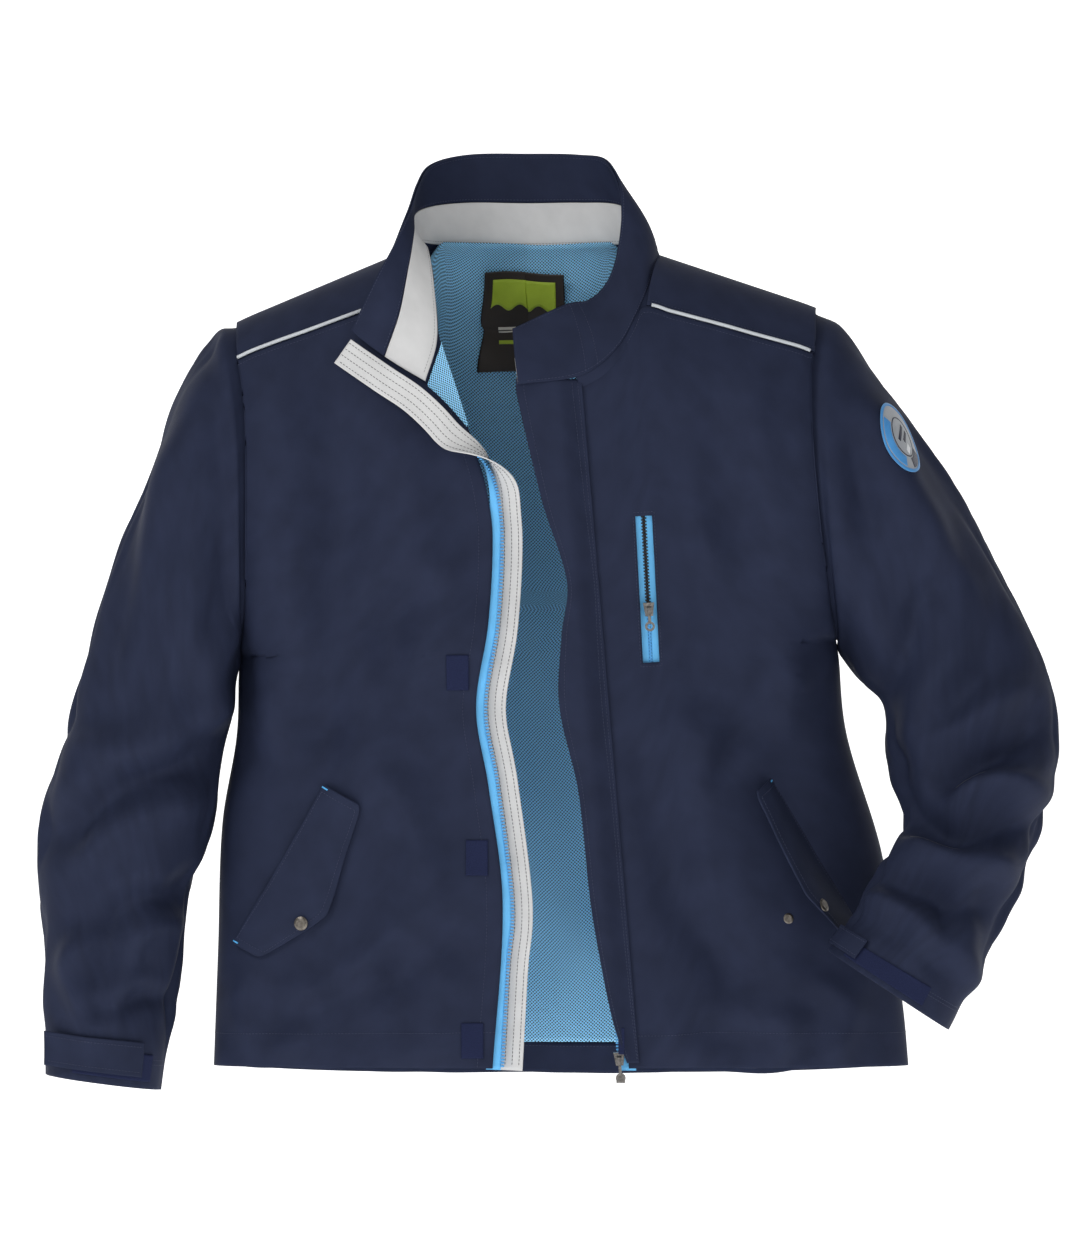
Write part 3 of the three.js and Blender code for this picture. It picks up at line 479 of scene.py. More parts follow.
def frames_along(path, pitch, normals=None, start=0.5):
    """Frames every pitch along a path of points: x along it, z along the normals."""
    path = np.asarray(path, float)
    reach = np.concatenate([[0], np.cumsum(np.linalg.norm(np.diff(path, axis=0), axis=1))])
    stations = np.arange(start * pitch, reach[-1], pitch)
    where = np.stack([np.interp(stations, reach, path[:, k]) for k in range(3)], -1)
    ahead = np.stack([np.interp(stations + 0.5, reach, path[:, k]) for k in range(3)], -1)
    behind = np.stack([np.interp(stations - 0.5, reach, path[:, k]) for k in range(3)], -1)
    x = unit(ahead - behind)
    if normals is None:
        normals = np.tile([0.0, -1.0, 0.0], (len(path), 1))
    z = np.stack([np.interp(stations, reach, np.asarray(normals)[:, k]) for k in range(3)], -1)
    y = unit(np.cross(z, x))
    z = np.cross(x, y)
    matrices = np.zeros((len(stations), 4, 4))
    for k, axis in enumerate((x, y, z, where)):
        matrices[:, :3, k] = axis
    matrices[:, 3, 3] = 1
    return matrices


def deselect():
    if bpy.context.object and bpy.context.object.mode != "OBJECT":
        bpy.ops.object.mode_set(mode="OBJECT")
    bpy.ops.object.select_all(action="DESELECT")


def stitch_source(length=2.3, radius=0.24):
    """One stitch: a slim bead of thread, in millimetres."""
    deselect()
    bpy.ops.mesh.primitive_uv_sphere_add(segments=6, ring_count=4, radius=1)
    stitch = bpy.context.object
    stitch.rotation_euler = (0, math.pi / 2, 0)
    bpy.ops.object.transform_apply(rotation=True)
    stitch.scale = (length / 2, radius, radius)
    bpy.ops.object.transform_apply(scale=True)
    return stitch


def stitch(name, paths, material, body, slot, every=None, **size):
    """Rows of stitches: each path is (points, normals) in millimetres, with a stitch every so many."""
    every = every or bpy.context.scene.jacket_sizes.stitch_pitch / MM
    matrices = np.concatenate([frames_along(p, every, n) for p, n in paths])
    return set_in(copies(name, stitch_source(**size), matrices, material), body, slot)


def row_on(cloth, u, v, lift=0.15):
    """Points and normals of a row of stitches on a sheet, for (u, v) along it."""
    low, high = cloth.at(u, v, lift), cloth.at(u, v, lift + 1)
    return low, high - low


# Materials -------------------------------------------------------------------------------------


def linear(colour):
    """A hex colour in sRGB, or a linear one from the settings, as linear red, green, blue and alpha."""
    if not isinstance(colour, str):
        return [*colour, 1.0]
    channels = [int(colour[i:i + 2], 16) / 255 for i in (1, 3, 5)]
    return [c / 12.92 if c <= 0.04045 else ((c + 0.055) / 1.055) ** 2.4 for c in channels] + [1.0]


def swatch(name, use, colour):
    """A colour that can be changed in the sidebar."""
    return bpy.props.FloatVectorProperty(name=name, description=use, default=linear(colour)[:3], size=3,
                                         min=0, max=1, subtype="COLOR")


def pitch(name, use, length):
    """A small repeat length that can be changed in the sidebar."""
    return bpy.props.FloatProperty(name=name, description=use, default=length * MM, min=MM, max=10 * MM,
                                   precision=4, unit="LENGTH", subtype="DISTANCE")


class JacketSizes(bpy.types.PropertyGroup):
    """Sizes that belong to the looks alone; all others follow the CAD."""
    fold_height: bpy.props.FloatProperty(name="Fold height", description="Height of all folds, against a "
                                         "freshly pressed jacket at 0", default=1.9, min=0, max=2.5,
                                         subtype="FACTOR")
    stitch_pitch: pitch("Stitch pitch", "From one stitch of the topstitching to the next", 3.1)
    tooth_pitch: pitch("Tooth pitch", "From one moulded zip tooth to the next", 2.9)


class JacketColours(bpy.types.PropertyGroup):
    """The cloths' and trims' main colours."""
    shell: swatch("Shell", "Outer cloth of body, collar and sleeves", "#252b40")
    mesh: swatch("Mesh", "Yarn of the mesh lining", "#8fd3fa")
    grey: swatch("Grey twill", "Collar band and chin guard", "#d0d0d0")
    zip_tape: swatch("Zip tape", "Tapes of the main and chest zips", "#63b7ee")
    piping: swatch("Piping", "Cord in the front yoke seams", "#c1c6cb")


def shades(colour, spread):
    """A darker and a lighter tone on both sides of a colour from the settings."""
    return [[channel * (1 + side * spread) for channel in colour] for side in (-1, 1)]


def add_node(tree, kind, links=(), **settings):
    """Adds a node. Settings name its inputs or its properties; links are (output, input name)."""
    node = tree.nodes.new(kind)
    for key, value in settings.items():
        socket = node.inputs.get(key.replace("_", " "))
        if socket is not None:
            socket.default_value = value
        else:
            setattr(node, key, value)
    for output, name in links:
        tree.links.new(output, node.inputs[name])
    return node


def new_material(name):
    material = bpy.data.materials.get(name)
    if material:
        return material, None, None
    material = bpy.data.materials.new(name)
    material.use_nodes = True
    return material, material.node_tree, material.node_tree.nodes["Principled BSDF"]


def two_tones(tree, factor, low, high, start=0.3, end=0.7):
    ramp = add_node(tree, "ShaderNodeValToRGB", [(factor, "Fac")])
    ramp.color_ramp.elements[0].position = start
    ramp.color_ramp.elements[0].color = low
    ramp.color_ramp.elements[1].position = end
    ramp.color_ramp.elements[1].color = high
    return ramp.outputs["Color"]


def cut_map(tree, threads=1.0, turn=0.0):
    """The cloth's own UV map, where 1 is one thread of `threads` millimetres."""
    uv = add_node(tree, "ShaderNodeUVMap", uv_map="cut")
    size = 1 / (threads * MM)
    mapping = add_node(tree, "ShaderNodeMapping", [(uv.outputs["UV"], "Vector")])
    mapping.inputs["Scale"].default_value = (size, size, size)
    mapping.inputs["Rotation"].default_value = (0, 0, turn)
    return mapping.outputs["Vector"]


def woven(name, low, high, thread=0.45, roughness=0.6, sheen=0.2, bump=0.12, specular=0.5):
    """A plain weave: warp and weft ribs as bump, and a slow unevenness of dye as two close tones."""
    material, tree, shader = new_material(name)
    if tree is None:
        return material
    vector = cut_map(tree, thread)
    warp = add_node(tree, "ShaderNodeTexWave", [(vector, "Vector")], bands_direction="X", Scale=0.31)
    weft = add_node(tree, "ShaderNodeTexWave", [(vector, "Vector")], bands_direction="Y", Scale=0.31)
    ribs = add_node(tree, "ShaderNodeMath", [(warp.outputs["Fac"], 0), (weft.outputs["Fac"], 1)],
                    operation="ADD")
    uneven = add_node(tree, "ShaderNodeTexNoise", [(cut_map(tree, 26.0), "Vector")], Scale=1.0, Detail=4.0)
    tree.links.new(two_tones(tree, uneven.outputs["Fac"], linear(low), linear(high)),
                   shader.inputs["Base Color"])
    relief = add_node(tree, "ShaderNodeBump", [(ribs.outputs[0], "Height")], Strength=bump, Distance=0.0002)
    tree.links.new(relief.outputs["Normal"], shader.inputs["Normal"])
    shader.inputs["Roughness"].default_value = roughness
    shader.inputs["Sheen Weight"].default_value = sheen
    shader.inputs["Sheen Roughness"].default_value = 0.4
    shader.inputs["Specular IOR Level"].default_value = specular
    shader.inputs["IOR"].default_value = 1.45
    return material


def shell_cloth():
    """Polyester taslan with a polyurethane coating: matt navy, with hardly any gloss."""
    return woven("navy_coated_polyester", *shades(bpy.context.scene.jacket_colours.shell, 0.12), thread=0.5,
                 roughness=0.7, sheen=0.0, specular=0.12)


def lining_taffeta():
    """Polyester taffeta, calendered: dark navy and slightly shiny."""
    return woven("navy_taffeta", "#131726", "#181d30", thread=0.3, roughness=0.42, sheen=0.1)


def grey_cloth():
    """Brushed polyester twill in light grey."""
    return woven("grey_twill", *shades(bpy.context.scene.jacket_colours.grey, 0.06), thread=0.5,
                 roughness=0.7, sheen=0.3, bump=0.2)


def mesh_lining():
    """Warp-knitted polyester mesh: bright blue yarn round small dark holes in diagonal rows."""
    material, tree, shader = new_material("blue_knitted_mesh")
    if tree is None:
        return material
    # the holes stand 2.2 mm apart, in rows at 45 degrees to the grain
    vector = cut_map(tree, 2.2, math.pi / 4)
    cells = add_node(tree, "ShaderNodeTexVoronoi", [(vector, "Vector")], Scale=1.0, Randomness=0.0)
    yarn = linear(bpy.context.scene.jacket_colours.mesh)
    colour = two_tones(tree, cells.outputs["Distance"], linear("#071a2e"), yarn, 0.31, 0.36)
    tree.links.new(colour, shader.inputs["Base Color"])
    relief = add_node(tree, "ShaderNodeBump", [(cells.outputs["Distance"], "Height")], Strength=0.5,
                      Distance=0.0006)
    tree.links.new(relief.outputs["Normal"], shader.inputs["Normal"])
    shader.inputs["Roughness"].default_value = 0.65
    shader.inputs["Sheen Weight"].default_value = 0.2
    return material


def zip_tape_cloth():
    """Ribbed polyester zip tape, light blue."""
    return woven("blue_zip_tape", *shades(bpy.context.scene.jacket_colours.zip_tape, 0.1), thread=0.8,
                 roughness=0.6, sheen=0.2, bump=0.35)


def plastic(name, low, high, roughness=0.35, grain=60.0):
    """Moulded acetal: even colour with a faint grain in its gloss."""
    material, tree, shader = new_material(name)
    if tree is None:
        return material
    place = add_node(tree, "ShaderNodeTexCoord")
    grainy = add_node(tree, "ShaderNodeTexNoise", [(place.outputs["Object"], "Vector")], Scale=grain,
                      Detail=3.0)
    colour = two_tones(tree, grainy.outputs["Fac"], linear(low), linear(high))
    tree.links.new(colour, shader.inputs["Base Color"])
    shader.inputs["Roughness"].default_value = roughness
    shader.inputs["IOR"].default_value = 1.48
    return material


def blue_acetal():
    """The moulded teeth of the zips."""
    return plastic("blue_moulded_acetal", "#4f9fdc", "#5aa9e4")


def metal(name, low, high, roughness=0.32):
    """Die-cast zinc, plated: worn a little lighter in places."""
    material, tree, shader = new_material(name)
    if tree is None:
        return material
    place = add_node(tree, "ShaderNodeTexCoord")
    worn = add_node(tree, "ShaderNodeTexNoise", [(place.outputs["Object"], "Vector")], Scale=420.0, Detail=5.0)
    tree.links.new(two_tones(tree, worn.outputs["Fac"], linear(low), linear(high)), shader.inputs["Base Color"])
    shader.inputs["Metallic"].default_value = 0.95
    shader.inputs["Roughness"].default_value = roughness
    return material


def hook_tape():
    """Hook-and-loop tape: navy nylon, rough all over."""
    material, tree, shader = new_material("navy_hook_and_loop")
    if tree is None:
        return material
    fuzz = add_node(tree, "ShaderNodeTexNoise", [(cut_map(tree, 0.9), "Vector")], Scale=1.0, Detail=6.0)
    tree.links.new(two_tones(tree, fuzz.outputs["Fac"], linear("#171d36"), linear("#242b4c")),
                   shader.inputs["Base Color"])
    relief = add_node(tree, "ShaderNodeBump", [(fuzz.outputs["Fac"], "Height")], Strength=0.8, Distance=0.0006)
    tree.links.new(relief.outputs["Normal"], shader.inputs["Normal"])
    shader.inputs["Roughness"].default_value = 0.85
    shader.inputs["Specular IOR Level"].default_value = 0.15
    return material


def thread(name, colour, darker):
    """Spun polyester thread."""
    return plastic(name, darker, colour, roughness=0.6, grain=900.0)


def navy_thread():
    """The shell's topstitching, a little lighter than its cloth."""
    return thread("navy_thread", "#39405c", "#30364f")


# Placing cloth on the jacket -------------------------------------------------------------------


TRIM = 0.02  # a strip narrower than this, in metres, is sewn-on trim and no sheet; declare() returns every piece alike


def declare(piece, cloth):
    width, length, area = cloth.cut_size()
    if min(width, length) < TRIM:
        return piece
    return piece


def body_cloth(name, surface, columns, rows, material, slot, nodes, sign, high=0.0, low=-CLOTH, held="hung"):
    """A sheet that belongs to the body, built and placed."""
    cloth = Cloth(surface, columns, rows, outward=sign)
    piece = set_in(cloth.build(name, material, high, low), "body", slot, *nodes)
    declare(piece, cloth)
    return cloth


def front_right():
    return panel(-1, side_right, edge_right, lambda x: piping_right(x) - 2 * SEAM, level(FRONT_HEM),
                 seams=(True, False))


def front_left():
    return panel(-1, lambda z: zip_left(z) + 8, side_left, lambda x: top_left(x) - 2 * SEAM,
                 level(FRONT_HEM), seams=(False, True))


def yoke_left(u, v):
    x = mix(mix(NECK_HALF + 5, 108, v), SHOULDER_REACH - 6, u)
    return body_skin(-1, x, mix(shoulder(x), top_left(x) + 2 * SEAM, v * v))


def hem_of_back(x):
    """The back hangs a little lower than the fronts, and meets them at the side seams."""
    return mix(BACK_HEM, FRONT_HEM, across_body(x, FRONT_HEM) ** 4)


def neck_or_shoulder(x, below=0.0):
    return np.where(np.abs(x) < NECK_HALF, back_neck(x) - 2 * SEAM, shoulder(x)) - below


def chest_matrix():
    """Frame of the chest pocket's mouth: x across it, -y out of the front, z up along it."""
    top, foot = (body_skin(-1, *place) for place in (CHEST_TOP, CHEST_FOOT))
    middle = (top + foot) / 2
    up = unit(top - foot)
    side = unit(body_skin(-1, middle[0] + 12, middle[2]) - body_skin(-1, middle[0] - 12, middle[2]))
    inward = unit(np.cross(up, side))
    return frame_matrix(middle, np.cross(inward, up), inward, up)


def frame_matrix(origin, x, y, z):
    matrix = np.eye(4)
    for column, axis in enumerate((x, y, z, origin)):
        matrix[:3, column] = axis
    return matrix


def moved(matrix, points):
    return np.asarray(points, float) @ matrix[:3, :3].T + matrix[:3, 3]


def block(name, matrix, low, high):
    """A box from corner to corner in a frame, added as a primitive, for cutting."""
    deselect()
    bpy.ops.mesh.primitive_cube_add(size=1)
    cutter = bpy.context.object
    cutter.name = name
    low, high = np.array(low, float), np.array(high, float)
    cutter.data.transform(Matrix.Diagonal([*((high - low) * MM), 1.0]))
    centre = moved(matrix, (low + high) / 2) * MM
    turn = Matrix([[float(c) for c in row] for row in matrix])
    turn.translation = Vector(centre.tolist())
    cutter.data.transform(turn)
    return cutter


def cut_away(piece, cutter):
    deselect()
    bpy.context.view_layer.objects.active = piece
    cut = piece.modifiers.new("mouth", "BOOLEAN")
    cut.operation = "DIFFERENCE"
    cut.solver = "EXACT"
    cut.object = cutter
    bpy.ops.object.modifier_apply(modifier=cut.name)
    bpy.data.objects.remove(cutter)


class OBJECT_OT_jacket_body(bpy.types.Operator):
    """Fronts, yokes and back of the shell, with their topstitching"""
    bl_idname = "object.jacket_body"
    bl_label = "Shell fronts, yokes and back"

    def execute(self, context):
        navy = shell_cloth()
        right = body_cloth("front_right", front_right(), 110, 240, navy, "shell", ["front_panel_right"], -1)
        left_cloth = Cloth(front_left(), 110, 230, outward=-1)
        left = left_cloth.build("front_left", navy)
        half = CHEST_LENGTH / 2
        cut_away(left, block("mouth", chest_matrix(), (-MOUTH_HALF, -14, -half), (MOUTH_HALF, 14, half)))
        set_in(left, "body", "shell", "front_panel_left")
        declare(left, left_cloth)
        back = body_cloth("back", panel(1, side_right, side_left, level(BACK_SEAM - 2 * SEAM), hem_of_back,
                                        seams=(True, True)), 150, 170, navy, "shell", ["back_panel"], 1)
        yoke = body_cloth("back_yoke_cloth", panel(1, level(4 - SHOULDER_REACH), level(SHOULDER_REACH - 5),
                                             neck_or_shoulder, level(BACK_SEAM), ridge=True),
                          150, 40, navy, "shell", ["back_yoke"], 1)
        yoke_r = body_cloth("yoke_right", panel(-1, level(4 - SHOULDER_REACH), level(-100), shoulder,
                                                piping_right, ridge=True),
                            60, 32, navy, "shell", ["front_yoke_right"], -1)
        yoke_l = body_cloth("yoke_left", yoke_left, 60, 32, navy, "shell", ["front_yoke_left"], -1)
        across, down = np.linspace(0, 1, 160), np.linspace(0, 1, 220)
        hem = 1 - HEM / (BACK_SEAM - BACK_HEM)
        rows = [row_on(right, across, 1 - HEM / 650), row_on(left_cloth, across, 1 - HEM / 640),
                row_on(back, across, hem), row_on(back, across, 0.006), row_on(back, across, 0.014),
                row_on(right, np.full(220, 0.965), down), row_on(left_cloth, across[:150], 0.008),
                row_on(right, across[:130], 0.008), row_on(yoke, across, 0.965),
                row_on(yoke_r, across, 0.96), row_on(yoke_l, across, 0.955)]
        stitch("shell_stitching", rows, navy_thread(), "body", "shell")
        wide, tall = MOUTH_HALF + 2, half + 3.5
        corners = [(-wide, tall), (wide, tall), (wide, -tall), (-wide, -tall), (-wide, tall)]
        path = np.concatenate([np.linspace(a, b, 30)[:-1] for a, b in zip(corners, corners[1:])])
        spots = moved(chest_matrix(), np.stack([path[:, 0], np.zeros(len(path)), path[:, 1]], -1))
        low, high = (body_skin(-1, spots[:, 0], spots[:, 2], lift) for lift in (0.2, 1.2))
        stitch("chest_stitching", [(low, high - low)], navy_thread(), "body", "shell")
        return {"FINISHED"}


MOUTH_HALF = 7.5  # half the width of the chest pocket's mouth
CHEST_LENGTH = math.hypot(CHEST_FOOT[0] - CHEST_TOP[0], CHEST_FOOT[1] - CHEST_TOP[1])


class OBJECT_OT_jacket_linings(bpy.types.Operator):
    """Knitted mesh linings and the hem facing, with its stitching"""
    bl_idname = "object.jacket_linings"
    bl_label = "Linings"

    def execute(self, context):
        net, navy = mesh_lining(), shell_cloth()
        sides = {"left": lambda z: side_right(z) + 4, "right": lambda z: side_left(z) - 4}
        inside = {"high": LINING_IN + 1.0, "low": LINING_IN}

        def top_of_back(x):
            return mix(back_neck(x) + 9, neck_or_shoulder(x, 13), smooth(np.abs(x), 76, 102))

        back = panel(1, **sides, top=top_of_back, bottom=level(LINING_HEM), seams=(True, True),
                     lift=lambda x, z: -mix(3, LINING_IN, smooth(back_neck(x) + 4 - z, 0, 40)))
        body_cloth("back_mesh", back, 160, 170, net, "mesh_lining", ["back_lining"], -1, high=1, low=0)
        facing = panel(1, **sides, top=level(LINING_HEM - 2 * SEAM), bottom=hem_of_back, seams=(True, True))
        hem = body_cloth("back_hem_cloth", facing, 140, 10, navy, "shell", ["back_hem_facing"], -1, **inside)
        right = panel(-1, sides["left"], lambda z: edge_right(z) - 16, lambda x: piping_right(x) - 14,
                      level(FRONT_HEM), seams=(True, False), lift=-LINING_IN)
        body_cloth("front_mesh_right", right, 70, 150, net, "mesh_lining", ["front_lining_right"], -1,
                   high=0, low=-1)
        left = panel(-1, lambda z: zip_left(z) + 26, sides["right"], lambda x: top_left(x) - 14,
                     level(FRONT_HEM), seams=(False, True), lift=-LINING_IN)
        body_cloth("front_mesh_left", left, 70, 150, net, "mesh_lining", ["front_lining_left"], -1,
                   high=0, low=-1)
        stitch("facing_stitching", [row_on(hem, np.linspace(0, 1, 150), 0.12, LINING_IN + 1.2)], navy_thread(),
               "body", "shell")
        return {"FINISHED"}


# Collar ----------------------------------------------------------------------------------------

collar_foot = rail([(-90, -109, -122), (-80, -101, -84), (-84, -77, -34), (-90, -40, -2), (-96, 8, 6),
                    (-80, 33, 5), (-45, 51, 4), (0, 61, 3), (45, 51, 4), (85, 31, 5), (116, -4, 3),
                    (111, -52, -26), (99, -86, -58), (80, -104, -92), (48, -112, -116), (-8, -116, -124)])
collar_top = rail([(-157, -95, -75), (-140, -94, -35), (-122, -80, 0), (-109, -58, 32), (-99, -22, 60),
                   (-84, 14, 79), (-52, 42, 89), (0, 54, 90), (46, 44, 89), (72, 24, 83), (84, -6, 56),
                   (82, -30, 12), (74, -52, -28), (58, -68, -47), (34, -78, -52), (-13, -92, -74)])


def collar(low, high):
    def surface(u, v):
        rise = mix(low, high, v)
        point = mix(collar_foot(u), collar_top(u), rise[..., None])
        away = unit(point * [1, 1, 0])
        soft = 1.6 * np.sin(17 * u + 2.2 * rise) + 1.1 * np.sin(31 * u - 4 * rise + 1)
        return point + away * (6 * 4 * rise * (1 - rise) + soft * rise)[..., None]
    return surface


class OBJECT_OT_jacket_collar(bpy.types.Operator):
    """Standing collar: shell outside, navy and grey cloth inside"""
    bl_idname = "object.jacket_collar"
    bl_label = "Collar"

    def execute(self, context):
        navy, grey = shell_cloth(), grey_cloth()
        body_cloth("collar_outside", collar(0, 1), 220, 46, navy, "shell", ["collar_shell"], 1)
        inside = body_cloth("collar_inside", collar(0.5, 1), 220, 24, navy, "shell", ["collar_facing"], 1,
                            high=2, low=0.9)
        band = body_cloth("collar_grey_band", collar(0.02, 0.49), 220, 24, grey, "grey_cloth",
                          ["collar_band"], 1, high=2, low=0.9)
        along = np.linspace(0.01, 0.99, 260)
        outer = Cloth(collar(0, 1), 220, 46, outward=-1)
        rows = [row_on(outer, along, 0.97, CLOTH + 0.15), row_on(inside, along, 0.94, 2.15),
                row_on(inside, along, 0.05, 2.15), row_on(outer, along, 0.04, CLOTH + 0.15)]
        for turn in (0.905, 0.925):
            rows.append(row_on(outer, np.full(60, turn), np.linspace(0.02, 0.98, 60), CLOTH + 0.15))

        def neck_seam(u, v):
            foot = collar_foot(mix(0.62, 0.94, u))
            under = body_skin(-1, foot[..., 0] + 6, foot[..., 2] - 11, -2.6)
            return mix(foot + [0, 1.2, 1.0], under, v[..., None])

        def neck_seam_behind(u, v):
            # wider over the shoulders, where the neck hole reaches past the collar
            along = mix(0.14, 0.67, u)
            foot = collar_foot(along)
            x = foot[..., 0] - 26 * np.exp(-(((along - 0.26) / 0.07) ** 2))
            x = x + 9 * np.exp(-(((along - 0.66) / 0.03) ** 2))
            z = np.minimum(foot[..., 2] - 14, shoulder(x) - 10)
            to_back = smooth(along, 0.2, 0.28)[..., None]
            under = mix(body_skin(-1, x, z, -2.4), body_skin(1, x, z, -2.4), to_back)
            return mix(foot + [0, 0, 2], under, v[..., None])

        body_cloth("neck_seam_allowance", neck_seam, 90, 8, navy, "shell", [], -1, high=0, low=-0.8)
        body_cloth("neck_seam_behind", neck_seam_behind, 120, 8, navy, "shell", [], 1, high=0, low=-0.8)
        stitch("collar_stitching", rows, navy_thread(), "body", "shell")
        stitch("band_stitching", [row_on(band, along, 0.08, 2.15)], thread("grey_thread", "#8d8d8f", "#7d7d80"),
               "body", "grey_cloth")
        return {"FINISHED"}


def tube(name, path, radius, material, sides=12):
    """A round cord along a path of points, closed at both ends."""
    frames = frames_along(path, max(2.0, radius), start=0.0)
    turn = np.linspace(0, 2 * np.pi, sides, endpoint=False)
    ring = np.stack([np.zeros(sides), radius * np.cos(turn), radius * np.sin(turn)], -1)
    points = np.concatenate([moved(f, ring) for f in frames])
    faces = [(j * sides + i, j * sides + (i + 1) % sides,
              (j + 1) * sides + (i + 1) % sides, (j + 1) * sides + i)
             for j in range(len(frames) - 1) for i in range(sides)]
    piece = mesh_object(name, points, np.array(faces), material)
    deselect()
    piece.select_set(True)
    bpy.context.view_layer.objects.active = piece
    bpy.ops.object.mode_set(mode="EDIT")
    bpy.ops.mesh.select_all(action="SELECT")
    bpy.ops.mesh.fill_holes(sides=sides)
    bpy.ops.mesh.select_all(action="SELECT")
    bpy.ops.mesh.normals_make_consistent(inside=False)
    bpy.ops.object.mode_set(mode="OBJECT")
    return piece


class OBJECT_OT_jacket_piping(bpy.types.Operator):
    """Silver piping on both front yoke seams"""
    bl_idname = "object.jacket_piping"
    bl_label = "Piping"

    def execute(self, context):
        silver = plastic("silver_coated_piping", *shades(context.scene.jacket_colours.piping, 0.06), 0.3)
        for side, seam, x in (("right", piping_right, np.linspace(-262, -132, 60)),
                              ("left", top_left, np.linspace(112, 256, 60))):
            path = body_skin(-1, x, seam(x), 1.7)
            set_in(tube(f"piping_cord_{side}", path, 1.6, silver), "body", "piping", f"piping_{side}")
        return {"FINISHED"}


# Main zip --------------------------------------------------------------------------------------

edge_line = rail([(-31, 0, -741), (-26, 0, -650), (-22, 0, -590), (-35, 0, -485), (-46, 0, -415),
                  (-35, 0, -340), (-31, 0, -262), (-37, 0, -215), (-47, 0, -180), (-67, 0, -152),
                  (-93, 0, -127), (-124, 0, -106), (-158, 0, -82)])
TURN_FROM = 0.52
TURN_TO = 0.74
LAPEL_RISE = 6


def edge_frame(t):
    """Origins and the two directions across and out, all along the right front's free edge."""
    line = edge_line(t)
    ahead = unit(edge_line(np.minimum(t + 0.01, 1)) - edge_line(np.maximum(t - 0.01, 0)))
    flat = np.stack([ahead[..., 2], np.zeros(np.shape(t)), -ahead[..., 0]], -1)
    turned = smooth(t, TURN_FROM, TURN_TO)
    c, s = np.cos(np.pi * turned)[..., None], np.sin(np.pi * turned)[..., None]
    back = np.array([0.0, 1.0, 0.0])
    origin = body_skin(-1, line[..., 0], line[..., 2])
    origin[..., 1] -= LAPEL_RISE * turned
    return origin, flat * c - back * s, back * c + flat * s


def beside_edge(near, far, out, tucked=None):
    """A strip along the free edge, between two distances across, at one distance out.
    Where the edge turns over, the strip may start at another distance."""
    def surface(u, v):
        start = near if tucked is None else mix(near, tucked, smooth(v, TURN_FROM - 0.04, TURN_FROM + 0.06))
        origin, across, away = edge_frame(v)
        wave = 0.5 * np.sin(70 * v) * smooth(v, 0, 0.1)
        return origin + across * mix(start, far, u)[..., None] + away * (out + wave * u)[..., None]
    return surface


def zip_frame(t):
    """A point on the straight left zip, from its foot to its head."""
    ends = []
    for x, z in (ZIP_FOOT, ZIP_HEAD):
        ends.append([x, -depth(-1, x, z) + CLOTH + 2.4, z])
    return mix(*np.array(ends), np.asarray(t, float)[..., None])


def tooth_source(width=2.6, thick=2.4, length=1.75):
    """One moulded tooth: a block on the tape with a narrower head, its hook towards -x."""
    deselect()
    bpy.ops.mesh.primitive_cube_add(size=1)
    tooth = bpy.context.object
    tooth.scale = (width, thick, length)
    bpy.ops.object.transform_apply(scale=True)
    bpy.ops.object.mode_set(mode="EDIT")
    bpy.ops.mesh.select_mode(type="FACE")
    bpy.ops.mesh.select_all(action="DESELECT")
    bpy.ops.object.mode_set(mode="OBJECT")
    for face in tooth.data.polygons:
        face.select = face.normal.x < -0.9
    bpy.ops.object.mode_set(mode="EDIT")
    bpy.ops.mesh.extrude_region_move(TRANSFORM_OT_translate={"value": (-0.9, 0, 0)})
    bpy.ops.transform.resize(value=(1, 0.8, 0.62))
    bpy.ops.object.mode_set(mode="OBJECT")
    rounding = tooth.modifiers.new("rounding", "BEVEL")
    rounding.width = 0.22
    rounding.segments = 1
    bpy.ops.object.modifier_apply(modifier=rounding.name)
    return tooth


def teeth(name, origins, across, along, material, slot, body="body", source=None):
    """Moulded teeth every pitch along a path; across points away from the teeth's hooks."""
    reach = np.concatenate([[0], np.cumsum(np.linalg.norm(np.diff(origins, axis=0), axis=1))])
    every = bpy.context.scene.jacket_sizes.tooth_pitch / MM
    stations = np.arange(every / 2, reach[-1], every)
    pick = [np.stack([np.interp(stations, reach, grid[:, k]) for k in range(3)], -1)
            for grid in (origins, across, along)]
    x = unit(pick[1])
    z = unit(pick[2] - x * (x * pick[2]).sum(-1, keepdims=True))
    y = np.cross(z, x)
    matrices = np.zeros((len(stations), 4, 4))
    for k, axis in enumerate((x, y, z, pick[0])):
        matrices[:, :3, k] = axis
    matrices[:, 3, 3] = 1
    return set_in(copies(name, source or tooth_source(), matrices, material), body, slot)


